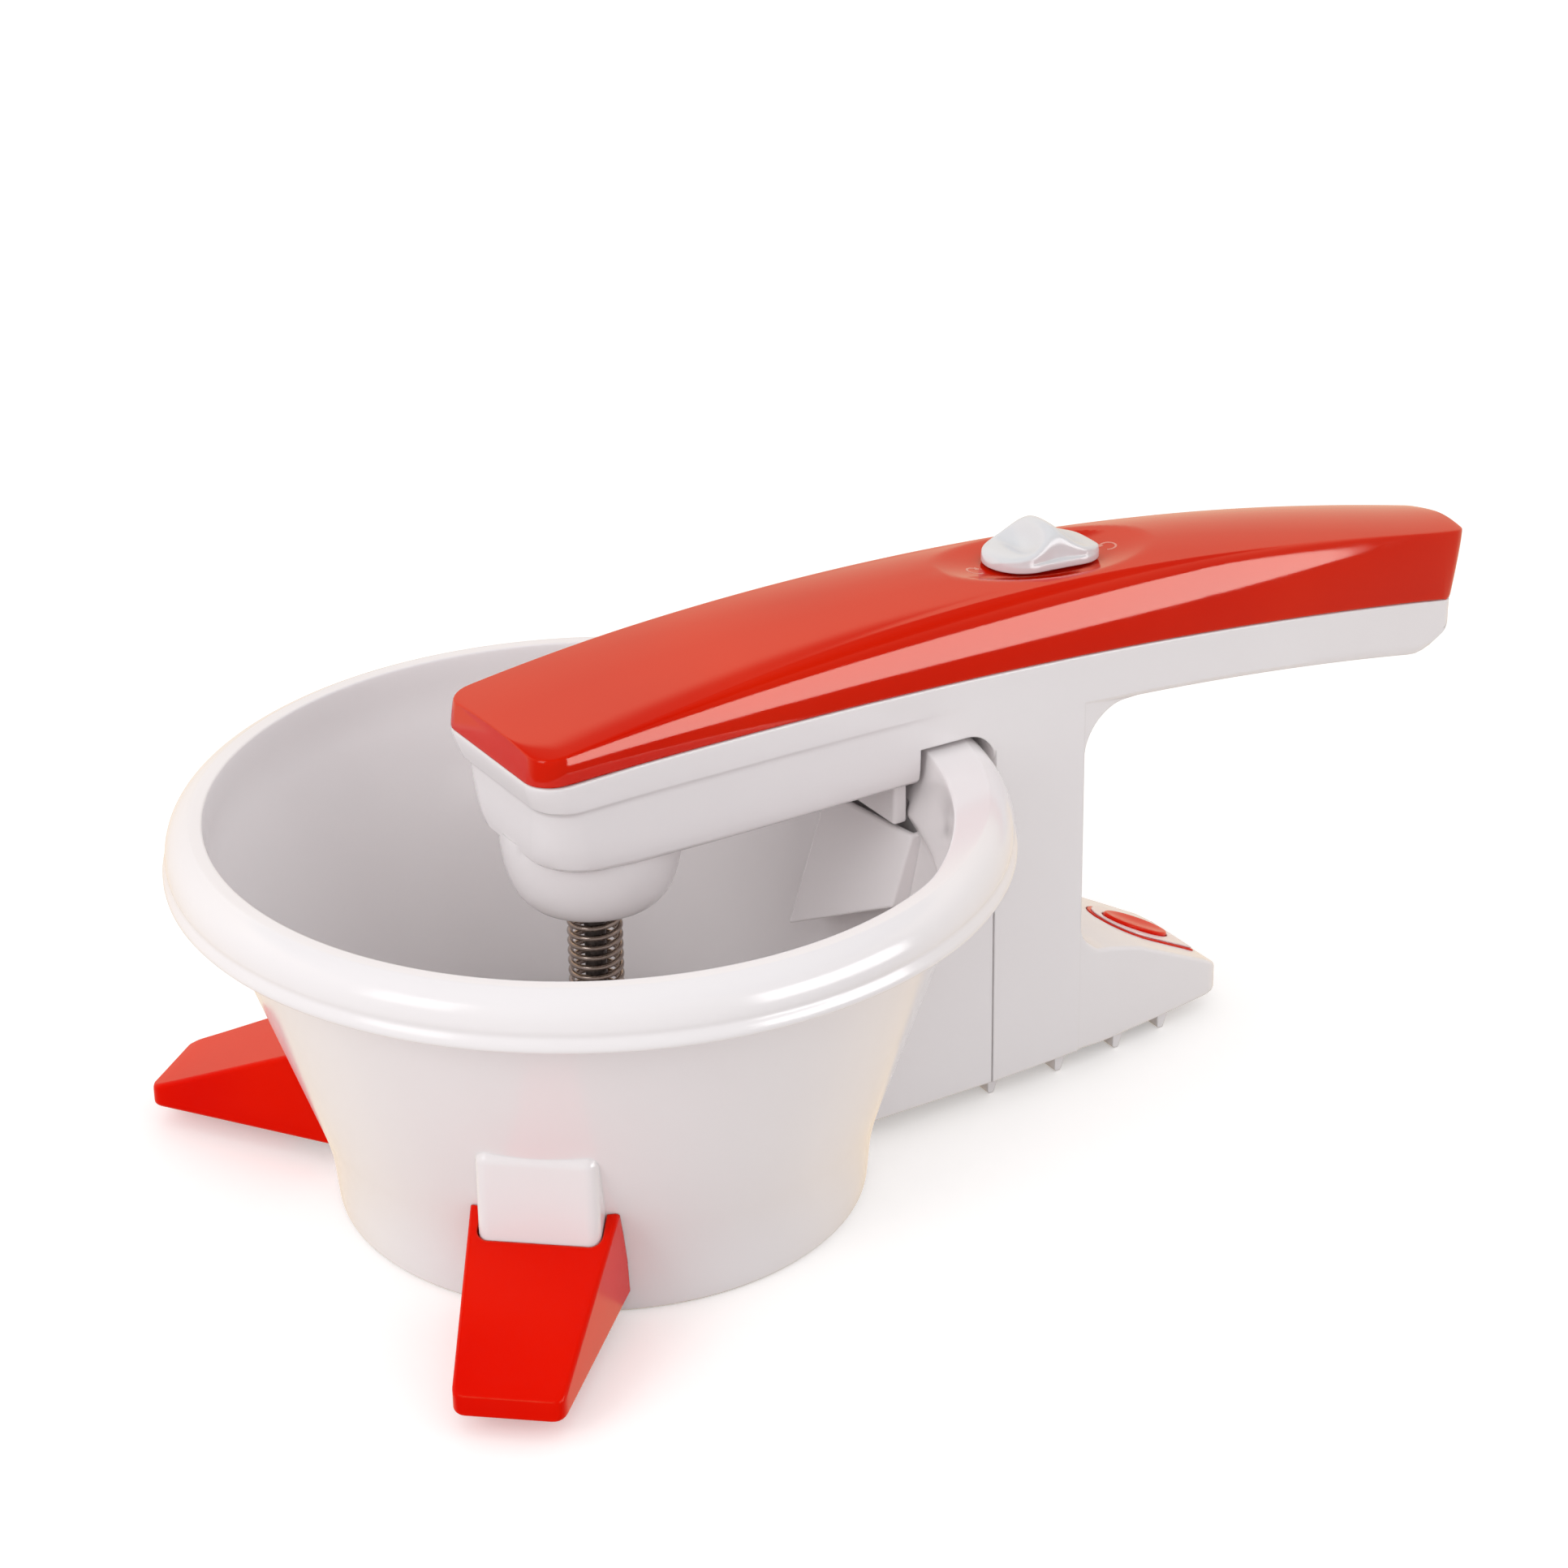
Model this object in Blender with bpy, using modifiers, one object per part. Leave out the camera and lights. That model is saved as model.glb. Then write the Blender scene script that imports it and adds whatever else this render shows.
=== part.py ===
"""Powered food mill: a bowl with two front feet and a perforated disc, and a lift-off motor handle
whose geared output turns a sprung blade on the disc.

Frame: origin in the middle of the footprint at table level, +X towards the handle's grip, +Z up.
Lengths are millimetres about the bowl's axis and become metres when a mesh is made; FRAME_X
is where that axis stands in the frame. A turned profile is a list of (radius, height).
"""
import math

import bmesh
import bpy
from mathutils import Matrix, Vector

MM = 0.001
# --- bowl: R is a radius about the axis, Z a height ---
BOWL_SIDES = 48
BASE_R, KNEE_R, KNEE_Z = 73.0, 74.6, 18.0
RIM_Z, LAND_R0, LAND_R1 = 114.8, 102.3, 106.0      # top of the rim and its flat land
CONE_R, CONE_Z = 102.5, 100.0
SKIRT_R, SKIRT_Z = 114.4, 101.3
WALL = 2.7
BACK_X = 111.7                # the bowl and its bracket end on this plane
BRACKET_HALF, BRACKET_Z0, BRACKET_WALL = 28.0, 5.0, 2.4
CRESCENT_Z0, CRESCENT_R, CRESCENT_X = 95.0, 113.9, -20.7
# --- feet: R runs outwards along the foot, HALF is a half-width ---
FOOT_AZIMUTH = 130.0
FOOT_R0, FOOT_R1 = 73.6, 131.0
FOOT_HALF0, FOOT_HALF1 = 20.0, 14.3
FOOT_Z0, FOOT_TIP_Z = 6.0, 12.0
FOOT_HEEL_R, FOOT_HEEL_Z = 80.0, 34.3
POST_HALF, POST_R, POST_Z = 16.0, 88.0, 55.0
POST_BEVEL, POST_GAP = 2.6, 0.4
# --- handle ---
HEAD_X, TAIL_X = -29.5, 285.5
CREST_X, CREST_Z = 90.0, 149.0          # highest point of the top line
CREASE_FALL = 4.95e-4                   # its curvature behind the crest
PART_X, PART_Z, SEAM = 26.0, 136.2, 0.35
SKIN = 2.4
HEAD_UNDER = 105.5
HEAD_FLOOR = HEAD_UNDER + SKIN
COL_X0, COL_X1 = 112.1, 143.0
SLOT_X0, SLOT_X1, SLOT_Z, SLOT_R = 87.0, 115.0, 115.4, 8.0
BOSS_Z = 85.4
JACK_X = 240.0
STATIONS = [-16.0 + 22.0 * i for i in range(14)]   # x of the handle's regular sections
COVER_SCREWS = [(62.0, 18.2, HEAD_FLOOR), (62.0, -18.2, HEAD_FLOOR), (268.5, 0.0, 97.5)]
DISH_X, KNOB_X = 147.0, 145.3
# --- release pad on the sloping tail ---
TAIL_KNEE_X, TAIL_KNEE_Z = 167.0, 31.0
TAIL_RUN, TAIL_FALL = 30.0, 15.8
PAD_AT = Vector((184.0, 0.0, 22.2))
PAD_FRAME = (Matrix.Translation(PAD_AT * MM)
             @ Matrix.Rotation(math.atan2(TAIL_FALL, TAIL_RUN), 4, "Y"))
PAD_U = -3.0                  # the oval's centre along the slope
# --- output drive ---
SPUR_MODULE, GEAR_TEETH, PINION_TEETH, SPUR_BACKLASH = 0.9, 40, 12, 0.35
WORM_MODULE, WHEEL_TEETH, WORM_R, WORM_TURNS = 1.0, 16, 4.5, 4
SPUR_DISTANCE = SPUR_MODULE * (GEAR_TEETH + PINION_TEETH) / 2
WORM_DISTANCE = WORM_R + WORM_MODULE * WHEEL_TEETH / 2
AXLE_Y = -WORM_DISTANCE
AXLE_X = math.sqrt(SPUR_DISTANCE ** 2 - WORM_DISTANCE ** 2)
AXLE_R, AXLE_BORE = 1.5, 1.9
WORM_Z = 125.0
PLATE_Z0, PLATE_Z1, ON_PLATE_Z = 117.3, 118.6, 118.9
PLATE_SCREWS = ((-15.5, 16.0), (-15.5, -16.0), (28.0, 20.0))
# --- mixer ---
SHAFT_R = 3.0
SPRING_Z0, SPRING_Z1, SPRING_R, WIRE_R, SPRING_PITCH = 31.0, 86.3, 6.8, 0.8, 3.0

FRAME_X = -(TAIL_X - SKIRT_R) / 2
ALONG_X = (0, math.pi / 2, 0)           # turns a part's own Z to +X
FLANK = math.pi / 2                     # corner angle at which a section is on the straight side

for old in list(bpy.data.objects):
    bpy.data.objects.remove(old, do_unlink=True)
PARTS = bpy.data.collections.new("food_mill")
WORK = bpy.data.collections.new("cutters")
bpy.context.scene.collection.children.link(PARTS)
bpy.context.scene.collection.children.link(WORK)


# --- materials ---
def finish(color, roughness, metallic=0.0):
    return {"Base Color": (*color, 1), "Roughness": roughness, "Metallic": metallic}


FINISHES = {
    "white": finish(color=(0.80, 0.78, 0.77), roughness=0.22),
    "red": finish(color=(0.75, 0.02, 0.0), roughness=0.2),
    "steel": finish(color=(0.55, 0.55, 0.56), roughness=0.3, metallic=1.0),
    "dark": finish(color=(0.12, 0.12, 0.12), roughness=0.35, metallic=1.0),
    "brass": finish(color=(0.6, 0.45, 0.2), roughness=0.3, metallic=1.0),
    "nylon": finish(color=(0.75, 0.73, 0.66), roughness=0.45),
    "board": finish(color=(0.02, 0.16, 0.07), roughness=0.4),
    "black": finish(color=(0.03, 0.03, 0.03), roughness=0.5),
    "wrap": finish(color=(0.05, 0.15, 0.45), roughness=0.4),
    "pale": finish(color=(0.85, 0.72, 0.72), roughness=0.3),
}


def material(name, kind):
    mat = bpy.data.materials.new(name)
    mat.use_nodes = True
    shader = mat.node_tree.nodes["Principled BSDF"]
    for socket, value in FINISHES[kind].items():
        shader.inputs[socket].default_value = value
    return mat


# --- meshes and booleans ---
def work_object(name, data):
    ob = bpy.data.objects.new(name, data)
    WORK.objects.link(ob)
    return ob


def from_bmesh(name, bm, scale=MM):
    """A work object with outward normals; frees the bmesh."""
    bmesh.ops.recalc_face_normals(bm, faces=bm.faces)
    if bm.calc_volume(signed=True) < 0:
        bmesh.ops.reverse_faces(bm, faces=bm.faces)
    if scale != 1:
        bmesh.ops.scale(bm, vec=(scale,) * 3, verts=bm.verts)
    mesh = bpy.data.meshes.new(name)
    bm.to_mesh(mesh)
    bm.free()
    return work_object(name, mesh)


def bake(ob):
    """The object's evaluated mesh, in world space, as a plain welded mesh."""
    bpy.context.view_layer.update()
    depsgraph = bpy.context.evaluated_depsgraph_get()
    mesh = bpy.data.meshes.new_from_object(ob.evaluated_get(depsgraph))
    mesh.transform(ob.matrix_world)
    bm = bmesh.new()
    bm.from_mesh(mesh)
    bmesh.ops.remove_doubles(bm, verts=bm.verts, dist=1e-6)
    name = ob.name
    bpy.data.objects.remove(ob, do_unlink=True)
    bpy.data.meshes.remove(mesh)
    return from_bmesh(name, bm, 1)


def volume(ob):
    bm = bmesh.new()
    bm.from_mesh(ob.data)
    result = bm.calc_volume(signed=True)
    bm.free()
    return result


def boolean(ob, other, operation="DIFFERENCE"):
    """EXACT, or MANIFOLD where the volumes show that EXACT lost the solid."""
    own, others = volume(ob), volume(other)
    if operation == "UNION":
        low, high = max(own, others) * 0.999, (own + others) * 1.001
    else:
        low, high = max(own - others, own * 0.02) * 0.999, own * 1.001
    for solver in ("EXACT", "MANIFOLD"):
        trial = ob.copy()
        trial.data = ob.data.copy()
        WORK.objects.link(trial)
        modifier = trial.modifiers.new("b", "BOOLEAN")
        modifier.operation, modifier.object, modifier.solver = operation, other, solver
        out = bake(trial)
        if low <= volume(out) <= high:
            break
    name = ob.name
    bpy.data.objects.remove(other, do_unlink=True)
    bpy.data.objects.remove(ob, do_unlink=True)
    out.name = name
    return out


def cut(ob, *others):
    for other in others:
        ob = boolean(ob, other)
    return ob


def join(ob, *others):
    for other in others:
        ob = boolean(ob, other, "UNION")
    return ob


def part(ob, name, kind, origin=(0, 0, 0), tidy=2e-6):
    """Finish a work object as a named piece with its own material and origin."""
    mesh = ob.data
    bm = bmesh.new()
    bm.from_mesh(mesh)
    bmesh.ops.remove_doubles(bm, verts=bm.verts, dist=tidy)
    bmesh.ops.dissolve_degenerate(bm, edges=bm.edges, dist=tidy)
    bmesh.ops.triangulate(bm, faces=bm.faces)
    bm.to_mesh(mesh)
    bm.free()
    ob.name = mesh.name = name
    mesh.materials.clear()
    mesh.materials.append(material("mat_" + name, kind))
    mesh.shade_smooth()
    mesh.set_sharp_from_angle(angle=math.radians(35))
    pivot = Vector(origin) * MM
    mesh.transform(Matrix.Translation(-pivot))
    ob.location = pivot + Vector((FRAME_X * MM, 0, 0))
    WORK.objects.unlink(ob)
    PARTS.objects.link(ob)


# --- shapes ---
def bridge(bm, ring_a, ring_b):
    """Side faces between two closed rings of vertices."""
    count = len(ring_a)
    for i in range(count):
        j = (i + 1) % count
        bm.faces.new((ring_a[i], ring_a[j], ring_b[j], ring_b[i]))


def loft(name, rings):
    """A closed solid through rings of equal count, each a list of (x, y, z); ends are fanned."""
    bm = bmesh.new()
    loops = [[bm.verts.new(point) for point in ring] for ring in rings]
    count = len(rings[0])
    for loop_a, loop_b in zip(loops, loops[1:]):
        bridge(bm, loop_a, loop_b)
    for loop in (loops[0], loops[-1]):
        centre = bm.verts.new(sum((v.co for v in loop), Vector()) / count)
        for i in range(count):
            bm.faces.new((loop[i], loop[(i + 1) % count], centre))
    return from_bmesh(name, bm)


def bar(name, stations, chamfer):
    """A solid along X through chamfered rectangles of (x, half-width, low z, high z)."""
    rings = []
    for x, w, z0, z1 in stations:
        c = min(chamfer, (z1 - z0) * 0.3)
        rings.append([(x, -w, z0 + c), (x, -w + c, z0), (x, w - c, z0), (x, w, z0 + c),
                      (x, w, z1 - c), (x, w - c, z1), (x, -w + c, z1), (x, -w, z1 - c)])
    return loft(name, rings)


def side_prism(name, outline, half):
    """A side outline of (x, z) carried across the width from -half to +half."""
    bm = bmesh.new()
    loops = [[bm.verts.new((x, side * half, z)) for x, z in outline] for side in (-1, 1)]
    bridge(bm, *loops)
    for loop in loops:
        bm.faces.new(loop)
    bmesh.ops.triangulate(bm, faces=[f for f in bm.faces if len(f.verts) > 4])
    return from_bmesh(name, bm)


def place_and_bake(ob, at, rotation):
    ob.location = Vector(at) * MM
    if rotation:
        ob.rotation_euler = rotation
    return bake(ob)


def turned(name, profile, sides=24, at=(0, 0, 0), rotation=None):
    """A profile, closed or ending on the axis, turned about Z by a Screw modifier."""
    mesh = bpy.data.meshes.new(name)
    count = len(profile)
    edges = [(i, i + 1) for i in range(count - 1)]
    if not profile[0][0] == profile[-1][0] == 0:
        edges.append((count - 1, 0))
    mesh.from_pydata([(r * MM, 0, z * MM) for r, z in profile], edges, [])
    ob = work_object(name, mesh)
    screw = ob.modifiers.new("s", "SCREW")
    screw.steps = screw.render_steps = sides
    screw.use_merge_vertices, screw.merge_threshold = True, 1e-6
    return place_and_bake(ob, at, rotation)


def tube(name, outer_r, inner_r, z0, z1, sides=24, at=(0, 0, 0)):
    profile = [(outer_r, z1), (outer_r, z0), (inner_r, z0), (inner_r, z1)]
    return turned(name, profile, sides, at)


def rod(name, radius, z0, z1, sides=24, at=(0, 0, 0), rotation=None):
    bpy.ops.mesh.primitive_cylinder_add(vertices=sides, radius=radius * MM, depth=(z1 - z0) * MM)
    ob = bpy.context.object
    ob.data.transform(Matrix.Translation((0, 0, (z0 + z1) / 2 * MM)))
    ob.name = name
    return place_and_bake(ob, at, rotation)


def box(name, x, y, z, bevel=0.0, segments=1):
    """A box between the (low, high) pairs x, y and z."""
    bpy.ops.mesh.primitive_cube_add(size=1)
    ob = bpy.context.object
    ob.name = name
    spans = (x, y, z)
    ob.data.transform(Matrix.Diagonal((*[(b - a) * MM for a, b in spans], 1)))
    ob.data.transform(Matrix.Translation([(a + b) / 2 * MM for a, b in spans]))
    if bevel:
        modifier = ob.modifiers.new("v", "BEVEL")
        modifier.width, modifier.segments = bevel * MM, segments
    return bake(ob)


def plate(name, outline, z0, z1, holes=(), bevel=0.0, frame=None):
    """A flat outline with holes, filled and extruded between two heights."""
    curve = bpy.data.curves.new(name, "CURVE")
    curve.dimensions, curve.fill_mode = "2D", "BOTH"
    curve.extrude = (z1 - z0) / 2 * MM
    for loop in [outline, *holes]:
        spline = curve.splines.new("POLY")
        spline.points.add(len(loop) - 1)
        for point, (x, y) in zip(spline.points, loop):
            point.co = (x * MM, y * MM, 0, 1)
        spline.use_cyclic_u = True
    ob = work_object(name, curve)
    ob.matrix_world = (frame or Matrix()) @ Matrix.Translation((0, 0, (z0 + z1) / 2 * MM))
    ob = bake(ob)
    if bevel:
        modifier = ob.modifiers.new("v", "BEVEL")
        modifier.width, modifier.segments = bevel * MM, 1
        modifier.limit_method, modifier.angle_limit = "ANGLE", math.radians(50)
        ob = bake(ob)
    return ob


def coil(name, radius, wire_r, z0, z1, pitch, per_turn, frame=None):
    """A round wire wound about Z."""
    curve = bpy.data.curves.new(name, "CURVE")
    curve.dimensions, curve.bevel_depth = "3D", wire_r * MM
    curve.bevel_resolution, curve.use_fill_caps = 1, True
    turns = (z1 - z0) / pitch
    count = int(turns * per_turn) + 1
    spline = curve.splines.new("POLY")
    spline.points.add(count - 1)
    for i, point in enumerate(spline.points):
        t = i / (count - 1)
        angle = 2 * math.pi * turns * t
        x, y = radius * math.cos(angle), radius * math.sin(angle)
        point.co = (x * MM, y * MM, (z0 + (z1 - z0) * t) * MM, 1)
    ob = work_object(name, curve)
    if frame:
        ob.matrix_world = frame
    return bake(ob)


def circle(radius, count, cx=0.0, cy=0.0):
    return [(cx + radius * math.cos(2 * math.pi * i / count),
             cy + radius * math.sin(2 * math.pi * i / count)) for i in range(count)]


def clamp01(value):
    return max(0.0, min(1.0, value))


def circle_height(c):
    """Height of a unit circle at c from its centre, zero beyond its edge."""
    c = min(1.0, c)
    return math.sqrt(1 - c * c)


# --- bowl ---
def cone_r(z):
    """Outer radius of the bowl's conical wall."""
    return KNEE_R + (CONE_R - KNEE_R) * (z - KNEE_Z) / (CONE_Z - KNEE_Z)


def bowl_core(name, offset, lower):
    """A solid that follows the wall at an offset, with its own profile points below the knee."""
    profile = [(0, 130.0), (cone_r(130) + offset, 130.0), (cone_r(KNEE_Z) + offset, KNEE_Z)]
    return turned(name, profile + lower + [(0, -5.0)], BOWL_SIDES)


def bowl_shell():
    rim_skin = [   # land, soft skirt, cove and rolled edge
        (LAND_R1, RIM_Z), (109.6, 112.4), (112.0, 108.8), (112.7, 106.2), (111.9, 104.8),
        (113.4, 103.4), (SKIRT_R, 102.4), (SKIRT_R, SKIRT_Z)]
    under_rim = [(SKIRT_R - 3.0, SKIRT_Z), (SKIRT_R - 4.4, 107.5), (cone_r(109) + 1.6, 111.0)]
    outside = [(cone_r(106), 106.0), (cone_r(80), 80.0), (cone_r(50), 50.0),
               (KNEE_R, KNEE_Z), (BASE_R, 1.0), (BASE_R - 0.8, 0.0)]
    ledge = [(70.4, 0.0), (70.4, 5.0), (66.0, 6.0), (66.0, 8.8), (71.6, 8.8)]
    inside = [(cone_r(z) - WALL, z) for z in (KNEE_Z, 50.0, 80.0, 106.0)] + [(LAND_R0, RIM_Z)]
    return turned("bowl", rim_skin + under_rim + outside + ledge + inside, BOWL_SIDES)


def bowl_bracket():
    """The box under the rim at the back, open towards the column."""
    bracket = box("bracket", (62, BACK_X + 1.5), (-BRACKET_HALF, BRACKET_HALF),
                  (BRACKET_Z0, 104.0))
    bracket = cut(bracket, bowl_core("inside", -1.4, [(71.8, 7.5), (71.8, -5.0)]))
    half = BRACKET_HALF - BRACKET_WALL
    hollow = box("hollow", (60, BACK_X + 3), (-half, half), (BRACKET_Z0 + BRACKET_WALL, 99.0))
    hollow = cut(hollow, bowl_core("keep", 0.6, [(74.6, 7.5), (74.6, -5.0)]))
    return cut(bracket, hollow)


def foot_post(side):
    """A post on the lower wall that a foot is forked round."""
    post = box("post", (66, POST_R), (-POST_HALF, POST_HALF), (8.0, POST_Z), POST_BEVEL, 2)
    trim = bowl_core("trim", -1.3, [(72.2, 7.5), (72.2, -5.0)])
    post.matrix_world = Matrix.Rotation(math.radians(FOOT_AZIMUTH * side), 4, "Z")
    return cut(bake(post), trim)


def pocket(name, heights, grow, wall_offset):
    """A slanting five-sided block cut off at the bowl's wall."""
    def section(z):
        lean = -(90.0 - z) * 0.34
        return [(79.6 + lean + grow, 4 - grow * 0.6, z), (84.2 + lean + grow, -27 + grow, z),
                (94.0 + lean, -27 + grow, z), (96.4 + lean, 15 - grow, z),
                (92.0 + lean + grow, 15 - grow, z)]

    block = loft(name, [section(z) for z in heights])
    inner_r = [cone_r(z) - WALL + wall_offset for z in (0, 130)]
    profile = [(200, 130.0), (200, 0.0), (inner_r[0], 0.0), (inner_r[1], 130.0)]
    return cut(block, turned("shell", profile, BOWL_SIDES))


def rim_crescent():
    """Towards the handle the rim's land widens inwards into a deep crescent."""
    shoulder_z = RIM_Z - 8
    crescent = turned("crescent", [
        (60.0, RIM_Z), (60.0, CRESCENT_Z0), (cone_r(CRESCENT_Z0) - 1.2, CRESCENT_Z0),
        (cone_r(shoulder_z) - 1.2, shoulder_z), (103.4, RIM_Z)], BOWL_SIDES)
    return cut(crescent, rod("round", CRESCENT_R, 80.0, 130.0, 96, (CRESCENT_X, 0, 0)),
               box("front", (-120, 40), (-120, 120), (80, 130)))


def build_bowl():
    bowl = join(bowl_shell(), bowl_bracket())
    for side in (-1, 1):
        bowl = join(bowl, foot_post(side))
    # pocket on the inside of the back wall, open at the top
    outer_pocket = pocket("outer_pocket", (62.0, 90.0), grow=0, wall_offset=1.2)
    inner_pocket = pocket("inner_pocket", (65.0, 96.0), grow=2.0, wall_offset=0.0)
    bowl = join(bowl, outer_pocket)
    bowl = cut(bowl, inner_pocket)
    bowl = join(bowl, rim_crescent())
    # the back of the rim is flat where the column passes
    bowl = cut(bowl, box("flat", (BACK_X, 140), (-60, 60), (-10, 140)))
    part(bowl, "bowl", "white")


def build_disc():
    """The perforated disc, just above the bowl's ledge."""
    hole_rows = ((16, 8), (28, 14), (40, 20), (52, 26))   # row radius, number of holes
    holes = []
    for row, (radius, count) in enumerate(hole_rows):
        for i in range(count):
            angle = 2 * math.pi * (i + 0.5 * (row % 2)) / count
            holes.append(circle(1.5, 6, radius * math.cos(angle), radius * math.sin(angle)))
    holes.append(circle(3.5, 12))
    part(plate("disc", circle(70.6, 48), 9.2, 10.4, holes), "milling_disc", "steel")


def build_foot(side, name):
    """A wedge shoe forked round its post."""
    def top(u):
        slope = (FOOT_HEEL_Z - FOOT_TIP_Z) * (FOOT_R1 - u) / (FOOT_R1 - FOOT_HEEL_R)
        return FOOT_TIP_Z + slope

    def half(u):
        return FOOT_HALF1 + (FOOT_HALF0 - FOOT_HALF1) * (FOOT_R1 - u) / (FOOT_R1 - FOOT_R0)

    stations = [(u, half(u), FOOT_Z0, top(u))
                for u in (70.0, FOOT_HEEL_R, 100.0, 118.0, FOOT_R1 - 3.5)]
    stations.append((FOOT_R1 - 1.0, FOOT_HALF1 - 1.0, FOOT_Z0, top(FOOT_R1 - 1.0)))
    stations.append((FOOT_R1 + 0.4, FOOT_HALF1 - 3.4, FOOT_Z0, FOOT_TIP_Z - 0.6))
    foot = bar("foot", stations, 1.2)
    wall = bowl_core("wall", POST_GAP, [(KNEE_R + POST_GAP, -5.0)])
    notch_half = POST_HALF + POST_GAP
    notch = box("notch", (60, POST_R + POST_GAP), (-notch_half, notch_half), (4.0, 60.0),
                POST_BEVEL, 2)
    foot = cut(foot, notch)
    foot.matrix_world = Matrix.Rotation(math.radians(FOOT_AZIMUTH * side), 4, "Z")
    part(cut(bake(foot), wall), name, "red")


# --- handle lines: heights and widths along x ---
def crease_z(x):
    """Height of the cover's top line."""
    return CREST_Z - (5.5e-4 if x < CREST_X else CREASE_FALL) * (x - CREST_X) ** 2


def part_z(x):
    """Height of the parting line between cover and housing."""
    return PART_Z - (5.7e-4 if x < PART_X else 4.0e-4) * (x - PART_X) ** 2


def half_width(x):
    if x < PART_X:
        return 29.2 - 1.1 * ((PART_X - x) / 42) ** 1.5
    return 29.2 - 15.1 * ((x - PART_X) / 255) ** 2.1


def grip_under(x):
    """Height of the grip's underside, rounded up at the end."""
    if x > 268.0:
        return 94.8 + 14.0 * (1 - circle_height((x - 268.0) / 16.5))
    t = x - 171.0
    return 111.0 - 0.115 * t - 0.00055 * t * t


def shoulder(x):
    """Radius of the cover's long shoulder: tight at both ends, soft in the middle."""
    return 1.2 + 5.5 * math.sin(math.pi * (x + 30) / 320) ** 1.5


def crown(x):
    """Rise of the cover's middle above the crease line."""
    return 1.4 + 1.2 * math.sin(math.pi * (x + 30) / 320)


def corner_point(front_x, radius, angle, flank_x):
    """A point of the head's plan corner: its x, and how much narrower than full width it is."""
    if angle < FLANK:
        return front_x + radius * (1 - math.cos(angle)), radius * (1 - math.sin(angle))
    return flank_x, 0.0


# --- top cover ---
def cover_ring(x, inset=0.0, angle=FLANK, drop=0.0, low=None):
    """One section of the red cover's outer skin, or of its inside when inset."""
    top_z, seam_z = crease_z(x) - inset - drop, part_z(x)
    radius, rise = max(0.6, shoulder(x) - inset * 0.5), crown(x)
    top_x, top_cut = corner_point(HEAD_X + 0.9 + inset, 5.0, angle, x)
    low_x, low_cut = corner_point(HEAD_X + inset, 6.0, angle, x)
    top_w = half_width(x) - 0.5 - inset - top_cut
    low_w = half_width(x) - inset - low_cut
    half = [(top_x, 0.0, top_z + rise), (top_x, (top_w - radius) * 0.55, top_z + rise * 0.75)]
    for degrees in (90, 60, 30, 0):
        t = math.radians(degrees)
        half.append((top_x, top_w - radius + radius * math.cos(t),
                     top_z - radius * 0.5 + radius * 0.5 * math.sin(t) + 0.25 * math.sin(t)))
    half.append((low_x, top_w * 0.45 + low_w * 0.55,
                 (top_z - radius * 0.5) * 0.45 + seam_z * 0.55))
    half.append((low_x, low_w, seam_z if low is None else low))
    return [(px, -py, pz) for px, py, pz in reversed(half[1:])] + half


def cover_rings(inset):
    """Sections from head to tail; the inside runs on below the seam to open the cover."""
    low = 90.0 if inset else None
    rings = [cover_ring(HEAD_X + 3, inset, angle, low=low) for angle in (0.0, 0.4, 0.8, 1.2)]
    for x in [HEAD_X + 7 + inset] + STATIONS:
        # the inside drops under the switch dish
        drop = 2.9 * clamp01((40 - abs(x - DISH_X)) / 8) if inset else 0.0
        rings.append(cover_ring(x, inset, drop=drop, low=low))
    if inset:
        return rings + [cover_ring(TAIL_X - 8, inset, low=low)]
    rings.append(cover_ring(TAIL_X - 6))
    # the last two sections lean forward towards their lower edge, which stays on the seam
    for x, narrowing in ((TAIL_X - 1.5, 1.0), (TAIL_X, 0.95)):
        ring = [(px - 0.13 * max(0.0, crease_z(px) - pz), py * narrowing, pz)
                for px, py, pz in cover_ring(x)]
        lowest = min(pz for _, _, pz in ring)
        rings.append([(px, py, part_z(px) if pz < lowest + 1e-6 else pz)
                      for px, py, pz in ring])
    return rings


DISH_SLOPE = math.atan(2 * CREASE_FALL * (DISH_X - CREST_X))


def switch_dish():
    """The long shallow oval under the switch."""
    bpy.ops.mesh.primitive_uv_sphere_add(segments=24, ring_count=10, radius=1.0)
    dish = bpy.context.object
    centre = Vector((DISH_X, 0, crease_z(DISH_X) + crown(DISH_X) - 0.3))
    dish.matrix_world = (Matrix.Translation(centre * MM) @ Matrix.Rotation(DISH_SLOPE, 4, "Y")
                         @ Matrix.Diagonal((36.0 * MM, 15.0 * MM, 2.8 * MM, 1)))
    return bake(dish)


def build_cover():
    cover = loft("top_cover", cover_rings(0.0))
    cover = cut(cover, loft("cavity", cover_rings(SKIN)))
    cover = cut(cover, switch_dish())
    cover = cut(cover, box("slot", (137.8, 152.8), (-2.6, 2.6), (130, 170)))
    for x, y, z in COVER_SCREWS:
        top_z = crease_z(x) - (0.4 if y == 0 else 2.0)
        cover = join(cover, rod("pillar", 2.7, z + 1.2, top_z, 12, (x, y, 0)))
        cover = cut(cover, rod("pilot", 1.7, z - 5, z + 18, 10, (x, y, 0)))
    part(cover, "top_cover", "red")


# --- motor housing: head and grip below the seam, column and tail ---
# Levels from the seam down to the floor:
# setback of the front from HEAD_X, plan corner radius, narrowing, does it fade along the grip
LEVELS = ((0.3, 6.0, 0.2, True), (0.3, 6.5, 0.3, True), (1.5, 8.0, 1.3, True),
          (2.5, 13.0, 1.5, True), (4.5, 17.0, 2.1, False), (8.0, 18.0, 5.2, False))
HEAD_STATION = HEAD_X + 3     # the x whose width and heights the head's corner sections take


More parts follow.
